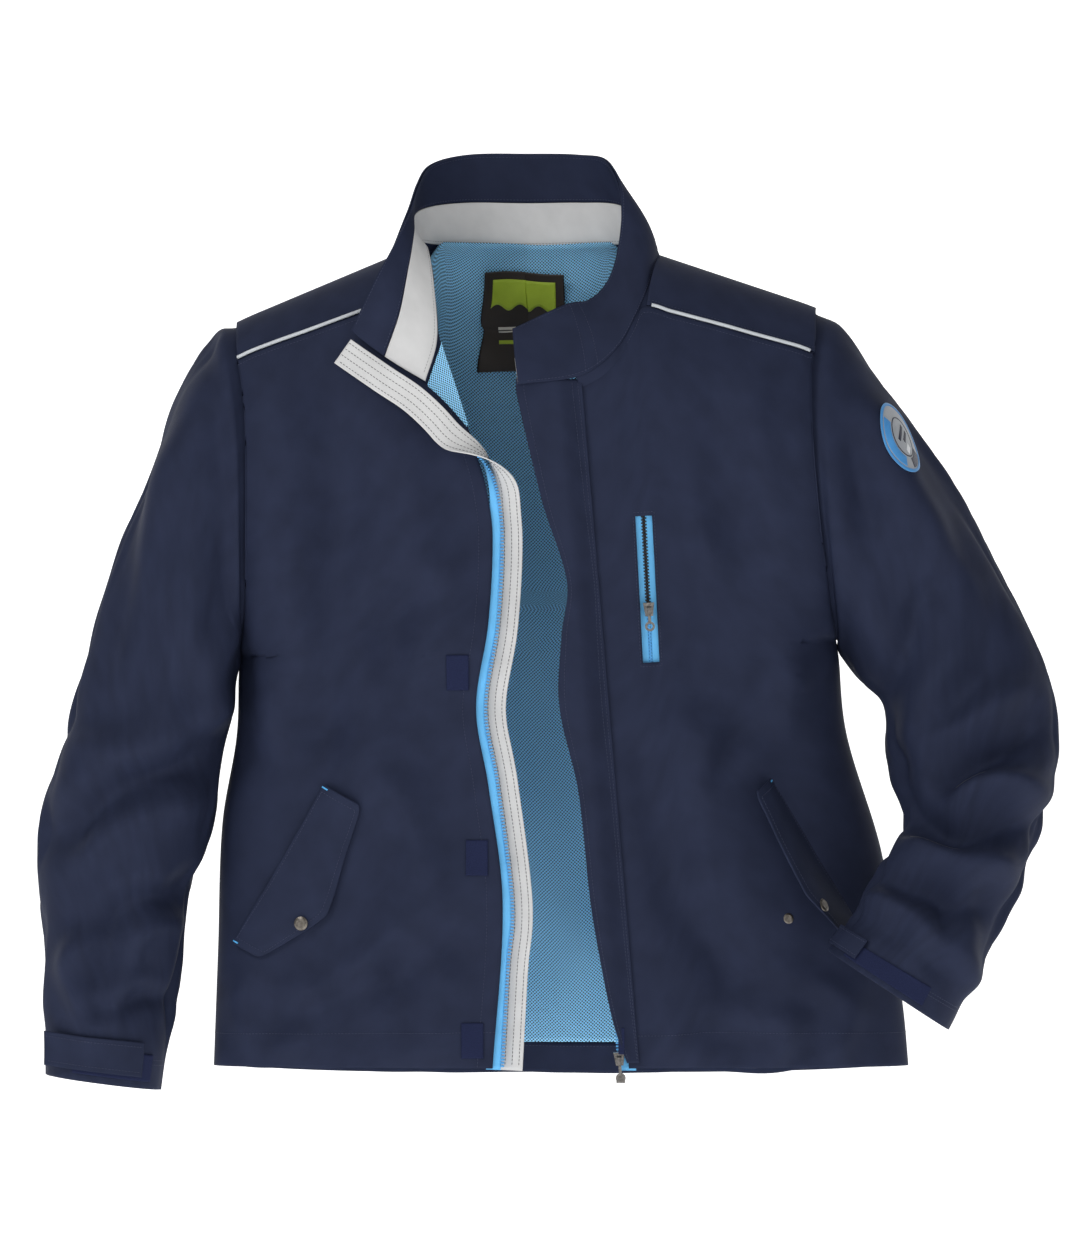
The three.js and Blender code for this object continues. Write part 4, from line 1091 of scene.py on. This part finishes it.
class OBJECT_OT_jacket_main_zip(bpy.types.Operator):
    """Main zip: tapes, moulded teeth, grey guard strip and the mesh on the lapel"""
    bl_idname = "object.jacket_main_zip"
    bl_label = "Main zip and guard"

    def execute(self, context):
        blue_tape, blue = zip_tape_cloth(), blue_acetal()
        grey, net = grey_cloth(), mesh_lining()
        behind = CLOTH + 1.1
        body_cloth("zip_tape_free", beside_edge(-6, 7.4, behind, tucked=1.5), 8, 300, blue_tape, "zip_blue",
                   ["zip_tape_right"], 1, high=0.45, low=-0.45)
        t = np.linspace(0.002, 0.985, 500)
        origin, across, away = edge_frame(t)
        ahead = np.gradient(origin, axis=0)
        teeth("zip_teeth_right", origin + across * 8.2 + away * behind, -across, ahead, blue, "zip_blue")
        guard = body_cloth("zip_guard_strip", beside_edge(1, GUARD_WIDTH, behind + 5.6), 24, 320, grey,
                           "grey_cloth", ["zip_guard"], 1, high=0.6, low=-0.6)
        down = np.linspace(0.004, 0.996, 500)
        rows = []
        for place in (0.14, 0.38, 0.62, 0.86):
            for side in (1, -1):
                low, up = row_on(guard, np.full(500, place), down, side * 0.75)
                rows.append((low, up * side))
        stitch("guard_stitching", rows, thread("charcoal_thread", "#3c3d42", "#2c2d31"), "body", "grey_cloth",
               every=3.4, length=2.5, radius=0.3)

        def lapel(u, v):
            z = mix(-160, -86, v)
            fold = body_skin(-1, edge_right(z) + 1, z)
            edge = edge_line(mix(0.71, 0.83, v))
            free = body_skin(-1, edge[..., 0] + 2, edge[..., 2] + 3)
            return mix(fold, free, u[..., None]) - [0, 3.4, 0]

        body_cloth("lapel_mesh", lapel, 24, 50, net, "mesh_lining", ["lapel_lining"], 1, high=0.5, low=-0.5)

        def left_tape(u, v):
            return zip_frame(v) + np.stack([mix(0.5, 14.5, u), 0 * u, 0 * u], -1)

        body_cloth("zip_tape_fixed", left_tape, 8, 200, blue_tape, "zip_blue", ["zip_tape_left"], -1,
                   high=0.45, low=-0.45)
        t = np.linspace(0.02, 0.985, 300)
        origin = zip_frame(t)
        teeth("zip_teeth_left", origin, np.tile([1.0, 0, 0], (300, 1)), np.gradient(origin, axis=0), blue,
              "zip_blue")
        return {"FINISHED"}


# Storm flap ------------------------------------------------------------------------------------

FLAP_STAND = 11
HOOK_LEVELS = {"top": -383, "middle": -550, "bottom": -715}


def flap_surface(u, v):
    z = mix(-119, -735, v)
    seam = flap_seam(z)
    x = mix(flap_free(z), seam + 1, u)
    rise = smooth(np.minimum(1, (seam + 1 - x) / 24))
    wave = (1 - u) * (1.4 * np.sin(v * 19) + 0.8 * np.sin(v * 41 + 1)) * smooth(v, 0.0, 0.06)
    point = body_skin(-1, x, z)
    tucked = 1 - 0.3 * np.exp(-((v / 0.018) ** 2))  # under the collar's foot
    point[..., 1] -= (mix(1.2, FLAP_STAND, rise) + wave * rise) * tucked
    return point


class OBJECT_OT_jacket_storm_flap(bpy.types.Operator):
    """Storm flap over the left zip, with its loop patches, and the hook patches that meet them"""
    bl_idname = "object.jacket_storm_flap"
    bl_label = "Storm flap"

    def execute(self, context):
        navy, hooks = shell_cloth(), hook_tape()
        cloth = Cloth(flap_surface, 40, 260, outward=-1)
        flap = set_in(cloth.build("storm_flap_cloth", navy, CLOTH, 0), "storm_flap", "shell", "storm_flap")
        declare(flap, cloth)
        down = np.linspace(0.004, 0.996, 260)
        rows = [row_on(cloth, np.full(260, 0.93), down, CLOTH + 0.15),
                row_on(cloth, np.full(260, 0.12), down, CLOTH + 0.15),
                row_on(cloth, np.full(260, 0.84), down, CLOTH + 0.15)]
        stitch("flap_stitching", rows, navy_thread(), "storm_flap", "shell")
        for place, height in HOOK_LEVELS.items():
            reach = min(18.0, float(flap_seam(height) - flap_free(height)) - 21)

            def loop(u, v, height=height, reach=reach):
                near = float(flap_free(height)) + 5
                point = body_skin(-1, mix(near, near + reach, u), mix(height + 12, height - 12, v))
                point[..., 1] -= FLAP_STAND - 3
                return point

            cloth = Cloth(loop, 12, 16, outward=-1)
            set_in(cloth.build(f"loop_tape_{place}", hooks, 0.5, -0.5), "storm_flap", "hook_and_loop",
                   f"loop_patch_{place}")

            def hook(u, v, height=height):
                across = float(edge_right(height)) - mix(30, 10, u)
                return body_skin(-1, across, mix(height + 16, height - 16, v))

            cloth = Cloth(hook, 14, 20, outward=-1)
            set_in(cloth.build(f"hook_tape_{place}", hooks, 1.3, 0.1), "body", "hook_and_loop",
                   f"hook_patch_{place}")
        return {"FINISHED"}


# Pockets ---------------------------------------------------------------------------------------


class OBJECT_OT_jacket_chest_pocket(bpy.types.Operator):
    """Chest pocket's zip in its mouth, and the bag behind it"""
    bl_idname = "object.jacket_chest_pocket"
    bl_label = "Chest pocket"

    def execute(self, context):
        matrix = chest_matrix()
        half = CHEST_LENGTH / 2
        tape = zip_tape_cloth()
        inside = CLOTH + 2.8

        def strip(near, far, low, high, y):
            def surface(u, v):
                local = np.stack([mix(near, far, u), np.full(u.shape, y), mix(high, low, v)], -1)
                return moved(matrix, local)
            return surface

        split = half - 82
        for side, near, far in (("outer", 1.3, 9.0), ("inner", -9.0, -1.3)):
            node = ["chest_zip_tape"] if side == "outer" else []
            body_cloth(f"chest_tape_{side}", strip(near, far, -half - 6, half + 6, inside), 8, 90, tape,
                       "zip_blue", node, -1, high=0.45, low=-0.45, held="stretched")
        body_cloth("chest_bag", strip(-35, 35, -half - 15, half + 15, inside + 2.6), 20, 40, lining_taffeta(),
                   "inner_taffeta", ["chest_pocket_bag"], -1, high=0.4, low=-0.4)
        # The open teeth above the slider are painted near-black: painted shade of the open mouth, on teeth that
        # are the same blue acetal as the closed ones below.
        open_teeth_shade = plastic("open_teeth_painted_shade", "#15161b", "#202228")
        blue = blue_acetal()
        half_pitch = context.scene.jacket_sizes.tooth_pitch / MM / 2
        for name, x, turn, low, high, material in (
                ("chest_teeth_outer", 1.6, 1, split, half + 3, open_teeth_shade),
                ("chest_teeth_inner", -1.6, -1, split, half + 3, open_teeth_shade),
                ("chest_teeth_closed_outer", 0.8, 1, -half - 3, split, blue),
                ("chest_teeth_closed_inner", -0.8, -1, -half - 3, split, blue)):
            z = np.linspace(low, high, 60) + (half_pitch if turn < 0 else 0)
            path = moved(matrix, np.stack([np.full(60, x), np.full(60, inside), z], -1))
            across = np.tile(matrix[:3, 0] * turn, (60, 1))
            teeth(name, path, across, np.tile(matrix[:3, 2], (60, 1)), material, "zip_blue",
                  source=tooth_source(1.8, 2.2, 1.5))
        return {"FINISHED"}


POCKETS = {
    "right": {"head": (-183, -483), "foot": (-265, -627), "side": -1, "rest": 0},
    "left": {"head": (216, -480), "foot": (298, -622), "side": 1, "rest": 50},
}
flap_width = profile([(0, 40), (0.3, 50), (0.55, 60), (0.64, 60), (1, 29)])


def pocket_place(pocket):
    head, foot, side = np.array(pocket["head"], float), np.array(pocket["foot"], float), pocket["side"]
    along = foot - head
    out = unit(np.array([-along[1], along[0]])) * (-1 if side > 0 else 1)

    def at(t, distance, lift=0.0):
        place = head + np.asarray(t)[..., None] * along + np.asarray(distance)[..., None] * out
        return body_skin(-1, place[..., 0], place[..., 1], lift)
    return at


def about_hinge(pocket):
    """The turn of a pocket's flap about its sewn edge, at rest."""
    ends = [np.array([p[0], -depth(-1, *map(float, p)), p[1]]) for p in (pocket["head"], pocket["foot"])]
    axis = Vector((ends[1] - ends[0]).tolist()).normalized()
    angle = -math.radians(pocket["rest"] * pocket["side"])
    spot = Matrix.Translation(Vector(ends[0].tolist()))
    return np.array(spot @ Matrix.Rotation(angle, 4, axis) @ spot.inverted())


class OBJECT_OT_jacket_hand_pockets(bpy.types.Operator):
    """Hand pockets: welts, bags, flaps with their topstitching, and bar tacks"""
    bl_idname = "object.jacket_hand_pockets"
    bl_label = "Hand pockets"

    def execute(self, context):
        navy, taffeta = shell_cloth(), lining_taffeta()
        blue_thread = thread("light_blue_thread", "#5cb4ee", "#48a0da")
        for name, pocket in POCKETS.items():
            at, sign, body = pocket_place(pocket), pocket["side"], f"{name}_pocket_flap"
            body_cloth(f"welt_{name}", lambda u, v: at(mix(0.03, 0.97, v), mix(1, 12, u)), 8, 60, navy, "shell",
                       [f"pocket_welt_{name}"], sign, high=1.8, low=0.8, held="stretched")
            body_cloth(f"pocket_bag_{name}", lambda u, v: at(mix(-0.1, 1.05, v), mix(-4, 80, u)), 30, 60,
                       taffeta, "inner_taffeta", [f"hand_pocket_bag_{name}"], sign, high=-6, low=-7)
            turn = about_hinge(pocket)

            def flap(u, v):
                # the corners are rounded, and the free edge rolls in a little
                ends = np.minimum(v, 1 - v) * 165
                width = flap_width(v) - 3.5 * np.exp(-ends / 2.5)
                far = mix(2, width, u)
                lift = 4.6 + 1.2 * np.sin(np.pi * u) - 1.6 * u**4 + 0.5 * np.sin(9 * v + 3 * u)
                return moved(turn, at(v, far, lift))

            cloth = Cloth(flap, 50, 110, outward=sign)
            piece = set_in(cloth.build(f"flap_{name}", navy, 0.9, -0.9), body, "shell", f"pocket_flap_{name}")
            declare(piece, cloth)
            down, over = np.linspace(0.04, 0.96, 120), np.linspace(0.02, 0.9, 60)
            rows = [row_on(cloth, np.full(120, 0.9), down, 1.0), row_on(cloth, over, np.full(60, 0.04), 1.0),
                    row_on(cloth, over, np.full(60, 0.96), 1.0), row_on(cloth, np.full(120, 0.05), down, 1.0)]
            stitch(f"flap_{name}_stitching", rows, navy_thread(), body, "shell")
            tacks = []
            for v in (0.015, 0.985):
                for step in (-0.45, -0.15, 0.15, 0.45):
                    low = cloth.at(np.linspace(0.0, 0.17, 12), np.full(12, v) + step / 165, 1.15)
                    high = cloth.at(np.linspace(0.0, 0.17, 12), np.full(12, v) + step / 165, 2.15)
                    tacks.append((low, high - low))
            stitch(f"flap_{name}_bar_tacks", tacks, blue_thread, body, "shell",
                   every=1.6, length=1.8, radius=0.35)
        return {"FINISHED"}


# Sleeves ---------------------------------------------------------------------------------------

SLEEVES = {
    "right": {
        "sign": -1,
        "seam": side_right,
        "outer": rail([(-271, 0, -67), (-307, 0, -115), (-349, 0, -201), (-385, 0, -300), (-413, 0, -420),
                       (-433, 0, -550), (-440, 0, -650), (-438, 0, -748)]),
        "inner": rail([(-264, 0, -365), (-268, 0, -388), (-272, 0, -420), (-279, 0, -462), (-290, 0, -520),
                       (-307, 0, -592), (-320, 0, -665), (-333, 0, -762)]),
        "girth": rail([(0, 92, 80), (-1, 91, 80), (-3, 86, 77), (-6, 78, 72), (-9, 69, 65), (-10, 62, 58),
                       (-10, 56, 54), (-10, 52, 50)]),
    },
    "left": {
        "sign": 1,
        "seam": side_left,
        "outer": rail([(271, 0, -54), (330, 0, -133), (385, 0, -215), (430, 0, -293), (466, 0, -362),
                       (478, 0, -421), (473, 0, -473), (458, 0, -534), (429, 0, -601), (402, 0, -653),
                       (378, 0, -703)]),
        "inner": rail([(284, 0, -353), (291, 0, -368), (301, 0, -384), (315, 0, -405), (333, 0, -436),
                       (344, 0, -468), (346, 0, -500), (341, 0, -530), (321, 0, -556), (297, 0, -598),
                       (270, 0, -632)]),
        "girth": rail([(0, 92, 80), (-1, 91, 80), (-4, 86, 77), (-9, 78, 72), (-20, 70, 66), (-36, 64, 62),
                       (-56, 60, 58), (-80, 56, 55), (-106, 54, 52), (-126, 52, 50), (-138, 50, 48)]),
    },
}


TUCKED = 6  # seam allowance under the body's edge
SEATED = 0.12  # as far as this along, a sleeve's ring still leans to the armhole seam


def ring(name, u, v, inset=0.0):
    """The plain sleeve: u once round from its outer edge by the front, v from armhole to cuff."""
    sleeve = SLEEVES[name]
    top, bottom, girth = sleeve["outer"](v), sleeve["inner"](v), sleeve["girth"](v)
    half = (top - bottom) / 2
    half = half * (1 - inset / np.linalg.norm(half, axis=-1, keepdims=True))
    turn = 2 * np.pi * u
    point = (top + bottom) / 2 + half * np.cos(turn)[..., None]
    reach = np.where(np.sin(turn) > 0, girth[..., 1], girth[..., 2]) - inset
    point[..., 1] = girth[..., 0] - np.sin(turn) * reach
    first, last = sleeve["outer"](0.0), sleeve["inner"](0.0)
    start = (first + last) / 2 + (first - last) / 2 * np.cos(turn)[..., None]
    lean = sleeve["seam"](start[..., 2]) + 2 * SEAM * sleeve["sign"] - start[..., 0]
    point[..., 0] += lean * (1 - smooth(v, 0, SEATED))
    return point


def sleeve_skin(name, u, v, lift=0.0, inset=0.0):
    """The sleeve with its folds, raised by lift along its normal."""
    u, v = np.broadcast_arrays(np.asarray(u, float), np.asarray(v, float))
    step = 0.002
    low, high = np.maximum(v - step, 0), np.minimum(v + step, 1)
    along = ring(name, u + step, v) - ring(name, u - step, v)
    normal = unit(np.cross(along, ring(name, u, high) - ring(name, u, low))) * SLEEVES[name]["sign"]
    base = ring(name, u, v, inset)
    place = f"{name}_sleeve"
    front = smooth(np.sin(2 * np.pi * u), -0.35, 0.4)
    x, z = base[..., 0], base[..., 2]
    ridges = front * folded(place, x, z) + (1 - front) * folded(place, x + 12, z + 30)
    height = ridges + 1.1 * rippled(x + 160 * front, z, seed=3.0)
    held_in = smooth(v, 0.0, 0.09) * (1 - 0.75 * smooth(v, 0.9, 0.97))
    upper = 0.5 + 0.5 * np.cos(2 * np.pi * u)
    cap = (2 + 3 * upper) * np.exp(-(((v - 0.03) / 0.03) ** 2)) * smooth(v, 0, 0.02)
    sink = (6 - 3 * upper**3 - 3.5 * (1 - upper) ** 3) * np.exp(-((v / 0.014) ** 2))
    point = base + normal * (bpy.context.scene.jacket_sizes.fold_height * height * held_in + cap - sink
                             + lift)[..., None]
    point[..., 0] -= SLEEVES[name]["sign"] * TUCKED * (2 - upper) * np.exp(-((v / 0.007) ** 2))
    return point


def blend_sleeve(piece, name):
    """Lets a piece bend between the body and a sleeve; its own shares are set afterwards."""
    near, far = [(ring(name, np.array(0.0), np.array(v)) * MM).tolist() for v in (0.0, 0.35)]
    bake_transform(piece, "body", f"{name}_sleeve", near, far)


def sleeve_cloth(name, piece_name, start, end, columns, rows, material, node, high, low, inset=0.0):
    """A sheet round the sleeve that bends away from the body's armhole."""
    cloth = Cloth(lambda u, v: sleeve_skin(name, u, mix(start, end, v), 0.0, inset), columns, rows,
                  outward=SLEEVES[name]["sign"], closed=True)
    piece = cloth.build(piece_name, material, high, low)
    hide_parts(node)
    blend_sleeve(piece, name)
    down = np.empty(len(piece.data.vertices), np.float32)
    piece.data.attributes["down"].data.foreach_get("value", down)
    share = smooth(mix(start, end, down), 0.0, BEND_REACH)
    piece.data.attributes["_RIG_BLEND"].data.foreach_set("value", share.astype(np.float32))
    declare(piece, cloth)
    return cloth


def bend_with(piece, name, cloth):
    """Gives a piece sewn on a bending sleeve the nearest cloth's share of the bend."""
    blend_sleeve(piece, name)
    shares = np.empty(len(cloth.data.vertices), np.float32)
    cloth.data.attributes["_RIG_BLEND"].data.foreach_get("value", shares)
    tree = KDTree(len(shares))
    for index, vertex in enumerate(cloth.data.vertices):
        tree.insert(vertex.co, index)
    tree.balance()
    nearest = [tree.find(vertex.co)[1] for vertex in piece.data.vertices]
    piece.data.attributes["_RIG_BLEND"].data.foreach_set("value", shares[nearest])


BEND_REACH = 0.3  # of the sleeve's length, from the armhole to where the whole sleeve swings


class OBJECT_OT_jacket_sleeves(bpy.types.Operator):
    """Both sleeves and their taffeta linings"""
    bl_idname = "object.jacket_sleeves"
    bl_label = "Sleeves"

    def execute(self, context):
        navy, taffeta = shell_cloth(), lining_taffeta()
        for name in SLEEVES:
            cloth = sleeve_cloth(name, f"{name}_sleeve_cloth", 0, 1, 120, 240, navy,
                                 f"sleeve_{name}", 0, -CLOTH)
            sleeve_cloth(name, f"{name}_sleeve_lining", 0.15, 0.94, 80, 100, taffeta,
                         f"sleeve_lining_{name}", 0, -1, inset=9)
            round_cuff = np.linspace(0, 1, 200)
            rows = [row_on(cloth, round_cuff, np.full(200, down)) for down in (0.962, 0.968)]
            stitch(f"{name}_cuff_stitching", rows, navy_thread(),
                   f"{name}_sleeve", "shell")
        return {"FINISHED"}


TABS = {"right": (0.36, 0.17, 0.7), "left": (0.52, 0.36, 1.0)}


class OBJECT_OT_jacket_cuffs(bpy.types.Operator):
    """Cuff tabs and the loop tape that they close on"""
    bl_idname = "object.jacket_cuffs"
    bl_label = "Cuff tabs"

    def execute(self, context):
        navy, hooks = shell_cloth(), hook_tape()
        for name, (start, end, reach) in TABS.items():
            def patch(u, v):
                return sleeve_skin(name, mix(0.17, 0.4, u), mix(0.955, 0.99, v), 0.2)

            cloth = Cloth(patch, 60, 14, outward=SLEEVES[name]["sign"])
            set_in(cloth.build(f"{name}_cuff_loop_tape", hooks, 1.2, 0), f"{name}_sleeve", "hook_and_loop",
                   f"cuff_loop_patch_{name}")

            def tab(u, v):
                turn = mix(start, end, np.minimum(u / reach, 1))
                point = sleeve_skin(name, turn, mix(0.94, 0.985, v), 3.2)
                tip = ring(name, np.array(end), np.array(0.985))
                ahead = unit(tip - ring(name, np.array(end - (end - start) * 0.1), np.array(0.985)))
                return point + ahead * (np.maximum(0, u - reach) * 90)[..., None]

            cloth = Cloth(tab, 70, 20, outward=-SLEEVES[name]["sign"] * (-1 if start > end else 1) * -1)
            piece = set_in(cloth.build(f"{name}_tab", navy, 0.8, -0.8), f"{name}_cuff_tab", "shell",
                           f"cuff_tab_{name}")
            declare(piece, cloth)
            along = np.linspace(0.03, 0.97, 90)
            rows = []
            for side in (1, -1):
                for v in (0.14, 0.86):
                    low, up = row_on(cloth, along, np.full(90, v), side * 0.95)
                    rows.append((low, up * side))
            stitch(f"{name}_tab_stitching", rows, navy_thread(),
                   f"{name}_cuff_tab", "shell")
        return {"FINISHED"}


# Label and badge -------------------------------------------------------------------------------


class OBJECT_OT_jacket_labels(bpy.types.Operator):
    """Neck label and round sleeve badge, both with plain shapes of their own and no words"""
    bl_idname = "object.jacket_labels"
    bl_label = "Label and badge"

    def execute(self, context):
        brown = woven("brown_woven_label", "#1f1812", "#2a2019", thread=0.35, roughness=0.5, sheen=0.1)
        lime = woven("lime_label_yarn", "#93ab25", "#a9c233", thread=0.35, roughness=0.5, sheen=0.1)
        cream = woven("cream_label_yarn", "#c9c6ba", "#dcd9cf", thread=0.35, roughness=0.5, sheen=0.1)

        def on_label(x0, x1, z0, z1, bend=0.0):
            def surface(u, v):
                x = mix(x0, x1, u)
                return body_skin(1, x, mix(z0, z1, v) + bend * np.sin(0.29 * (x - x0)) * v)
            return surface

        body_cloth("neck_label_cloth", on_label(-44, 37, -10, -106), 50, 60, brown, "label", ["neck_label"], -1,
                   high=LINING_IN + 4, low=LINING_IN + 3)
        marks = [("label_sky", -36, 29, -18, -44, 2.6, lime), ("label_bar_long", -28, 22, -60, -64, 0, cream),
                 ("label_bar_middle", -28, 10, -70, -74, 0, cream),
                 ("label_bar_short", -28, -2, -84, -87, 0, lime)]
        for name, x0, x1, z0, z1, bend, yarn in marks:
            cloth = Cloth(on_label(x0, x1, z0, z1, bend), 40, 8, outward=-1)
            set_in(cloth.build(name, yarn, LINING_IN + 4.4, LINING_IN + 4.05), "body", "label")

        grey = woven("grey_badge_twill", "#9a9ea4", "#a9adb3", thread=0.5, roughness=0.6)
        blue = woven("blue_badge_yarn", "#3d86c4", "#4c97d6", thread=0.5, roughness=0.55)
        white = woven("white_badge_yarn", "#d3d6da", "#e2e4e7", thread=0.5, roughness=0.55)
        dark = woven("navy_badge_yarn", "#1b2033", "#23293f", thread=0.5, roughness=0.55)
        centre = np.array([0.12, 0.115])
        spots = [ring("left", *(centre + step)) for step in ([0, 0], [0.01, 0], [0, 0.01])]
        per_turn, per_length = (np.linalg.norm(s - spots[0]) * 100 for s in spots[1:])

        def on_badge(right, down, lift):
            return sleeve_skin("left", centre[0] + right / per_turn, centre[1] + down / per_length, lift)

        def round_patch(low, high, start=0.0, turn=1.0):
            def surface(u, v):
                angle, reach = 2 * np.pi * (start + turn * u), mix(low, high, v)
                return on_badge(reach * np.sin(angle), -reach * np.cos(angle), 1.0)
            return surface

        def square_patch(right, down, wide, tall):
            def surface(u, v):
                return on_badge(mix(right, right + wide, u), mix(down, down + tall, v), 1.0)
            return surface

        patches = [("badge_cloth", round_patch(0.4, 28.0), 96, 24, grey, 1.0, 0.0, True),
                   ("badge_rim", round_patch(26.6, 29.0), 96, 3, blue, 1.5, 0.2, True),
                   ("badge_ring", round_patch(15.4, 16.4), 96, 2, dark, 1.25, 0.9, True),
                   ("badge_sky", round_patch(17.5, 25.5, 0.02, 0.3), 40, 8, blue, 1.3, 0.9, False),
                   ("badge_sea", round_patch(17.5, 25.5, 0.4, 0.16), 30, 8, dark, 1.3, 0.9, False),
                   ("badge_stripe", square_patch(-9, -6, 18, 3.2), 20, 4, dark, 1.3, 0.9, False),
                   ("badge_stripe_low", square_patch(-9, 0, 13, 3.2), 16, 4, dark, 1.3, 0.9, False),
                   ("badge_pennant", square_patch(1, 6, 8, 5), 10, 6, white, 1.3, 0.9, False)]
        sewn_on = bpy.data.objects["left_sleeve_cloth"]
        for name, surface, columns, rows, yarn, high, low, closed in patches:
            cloth = Cloth(surface, columns, rows, outward=1, closed=closed)
            out = np.sign((cloth.normals[rows // 2, columns // 2] * [0.5, -1, 0.5]).sum())
            if out < 0:
                cloth = Cloth(surface, columns, rows, outward=-1, closed=closed)
            piece = cloth.build(name, yarn, high, low)
            if name == "badge_cloth":
                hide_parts("sleeve_badge")
            bend_with(piece, "left", sewn_on)
        return {"FINISHED"}


# Metal -----------------------------------------------------------------------------------------


class OBJECT_OT_jacket_metal(bpy.types.Operator):
    """Sliders, pulls, snaps and the zip's foot"""
    bl_idname = "object.jacket_metal"
    bl_label = "Sliders, pulls and snaps"

    def execute(self, context):
        gunmetal = metal("gunmetal_plated_zinc", "#4c4a48", "#7a7774")
        antique = metal("antique_plated_brass", "#55504b", "#8a847c", roughness=0.38)
        for node in ("main_slider", "main_pull", "chest_slider", "chest_pull", "retaining_box"):
            dress(node, gunmetal)
        for node in ("snap_cap_right", "snap_cap_left", "snap_stud_right", "snap_stud_left"):
            dress(node, antique)
        return {"FINISHED"}


def dress(node, material):
    piece = bpy.data.objects[node]
    piece.data.materials.clear()
    piece.data.materials.append(material)


# Stage -----------------------------------------------------------------------------------------


class SCENE_OT_jacket_stage(bpy.types.Operator):
    """Pale floor and backdrop, soft studio lights and the camera"""
    bl_idname = "scene.jacket_stage"
    bl_label = "Stage"

    def execute(self, context):
        paper, tree, shader = new_material("white_paper_sweep")
        grain = add_node(tree, "ShaderNodeTexCoord")
        cloudy = add_node(tree, "ShaderNodeTexNoise", [(grain.outputs["Object"], "Vector")], Scale=3.0)
        tree.links.new(two_tones(tree, cloudy.outputs["Fac"], linear("#f6f6f6"), linear("#fbfbfb")),
                       shader.inputs["Base Color"])
        shader.inputs["Roughness"].default_value = 0.9
        shader.inputs["Emission Color"].default_value = (1, 1, 1, 1)
        shader.inputs["Emission Strength"].default_value = 0.85
        across = np.linspace(-16, 16, 2)
        turn = np.linspace(0, np.pi / 2, 24)
        bend = 3  # metres, from floor to wall; the camera stands well inside, on all sides of the jacket
        outline = [(-16.0, -1.3), *[(9 + bend * math.sin(a), bend * (1 - math.cos(a)) - 1.3) for a in turn],
                   (12.0, 14.0)]
        points = np.array([(x, y, z) for y, z in outline for x in across]) / MM
        faces = np.array([(2 * j, 2 * j + 1, 2 * j + 3, 2 * j + 2) for j in range(len(outline) - 1)])
        sweep = mesh_object("paper_sweep", points, faces, paper)
        for name, place, target, size, power in (
                ("key", (-2.2, -2.0, 1.7), (0, 0, -0.3), 1.2, 40),
                ("fill", (2.4, -2.4, 0.4), (0, 0, -0.35), 2.0, 7),
                ("top", (0, -0.4, 2.2), (0, 0, -0.2), 1.6, 9),
                ("front", (0, -3.6, 0.1), (0, 0, -0.35), 2.2, 15),
                ("low", (0, -2.4, -1.2), (0, 0, -0.4), 1.6, 2)):
            light = bpy.data.lights.new(name, "AREA")
            light.size = size
            light.energy = power
            lamp = bpy.data.objects.new(name, light)
            lamp.location = place
            lamp.rotation_euler = (Vector(target) - Vector(place)).to_track_quat("-Z", "Y").to_euler()
            lamp.visible_camera = False
            context.scene.collection.objects.link(lamp)
        world = bpy.data.worlds.new("studio_air")
        world.use_nodes = True
        world.node_tree.nodes["Background"].inputs["Color"].default_value = (1, 1, 1, 1)
        world.node_tree.nodes["Background"].inputs["Strength"].default_value = 0.18
        context.scene.world = world
        context.scene.view_settings.view_transform = "Standard"
        lens = bpy.data.cameras.new("camera")
        lens.lens = 322
        camera = bpy.data.objects.new("camera", lens)
        camera.location = (0.0117, -10.1, -0.3366)
        camera.rotation_euler = (math.pi / 2, 0, 0)
        context.scene.collection.objects.link(camera)
        context.scene.camera = camera
        return {"FINISHED"}


OPERATORS = [OBJECT_OT_jacket_body, OBJECT_OT_jacket_linings, OBJECT_OT_jacket_collar, OBJECT_OT_jacket_piping,
             OBJECT_OT_jacket_main_zip, OBJECT_OT_jacket_storm_flap, OBJECT_OT_jacket_chest_pocket,
             OBJECT_OT_jacket_hand_pockets, OBJECT_OT_jacket_sleeves, OBJECT_OT_jacket_cuffs,
             OBJECT_OT_jacket_labels, OBJECT_OT_jacket_metal, SCENE_OT_jacket_stage]


class VIEW3D_PT_jacket(bpy.types.Panel):
    """The jacket's settings and its pieces, in the order in which they are built"""
    bl_label = "Foul weather jacket"
    bl_idname = "VIEW3D_PT_jacket"
    bl_space_type = "VIEW_3D"
    bl_region_type = "UI"
    bl_category = "Jacket"

    def draw(self, context):
        for settings in (context.scene.jacket_sizes, context.scene.jacket_colours):
            for name in type(settings).__annotations__:
                self.layout.prop(settings, name)
        for operator in OPERATORS:
            self.layout.operator(operator.bl_idname)


CLASSES = [JacketSizes, JacketColours, *OPERATORS, VIEW3D_PT_jacket]


def register():
    for cls in CLASSES:
        bpy.utils.register_class(cls)
    bpy.types.Scene.jacket_sizes = bpy.props.PointerProperty(type=JacketSizes)
    bpy.types.Scene.jacket_colours = bpy.props.PointerProperty(type=JacketColours)


def unregister():
    del bpy.types.Scene.jacket_colours
    del bpy.types.Scene.jacket_sizes
    for cls in reversed(CLASSES):
        bpy.utils.unregister_class(cls)


def main():
    register()
    for operator in OPERATORS:
        group, name = operator.bl_idname.split(".")
        getattr(getattr(bpy.ops, group), name)()


if __name__ == "__main__":
    main()
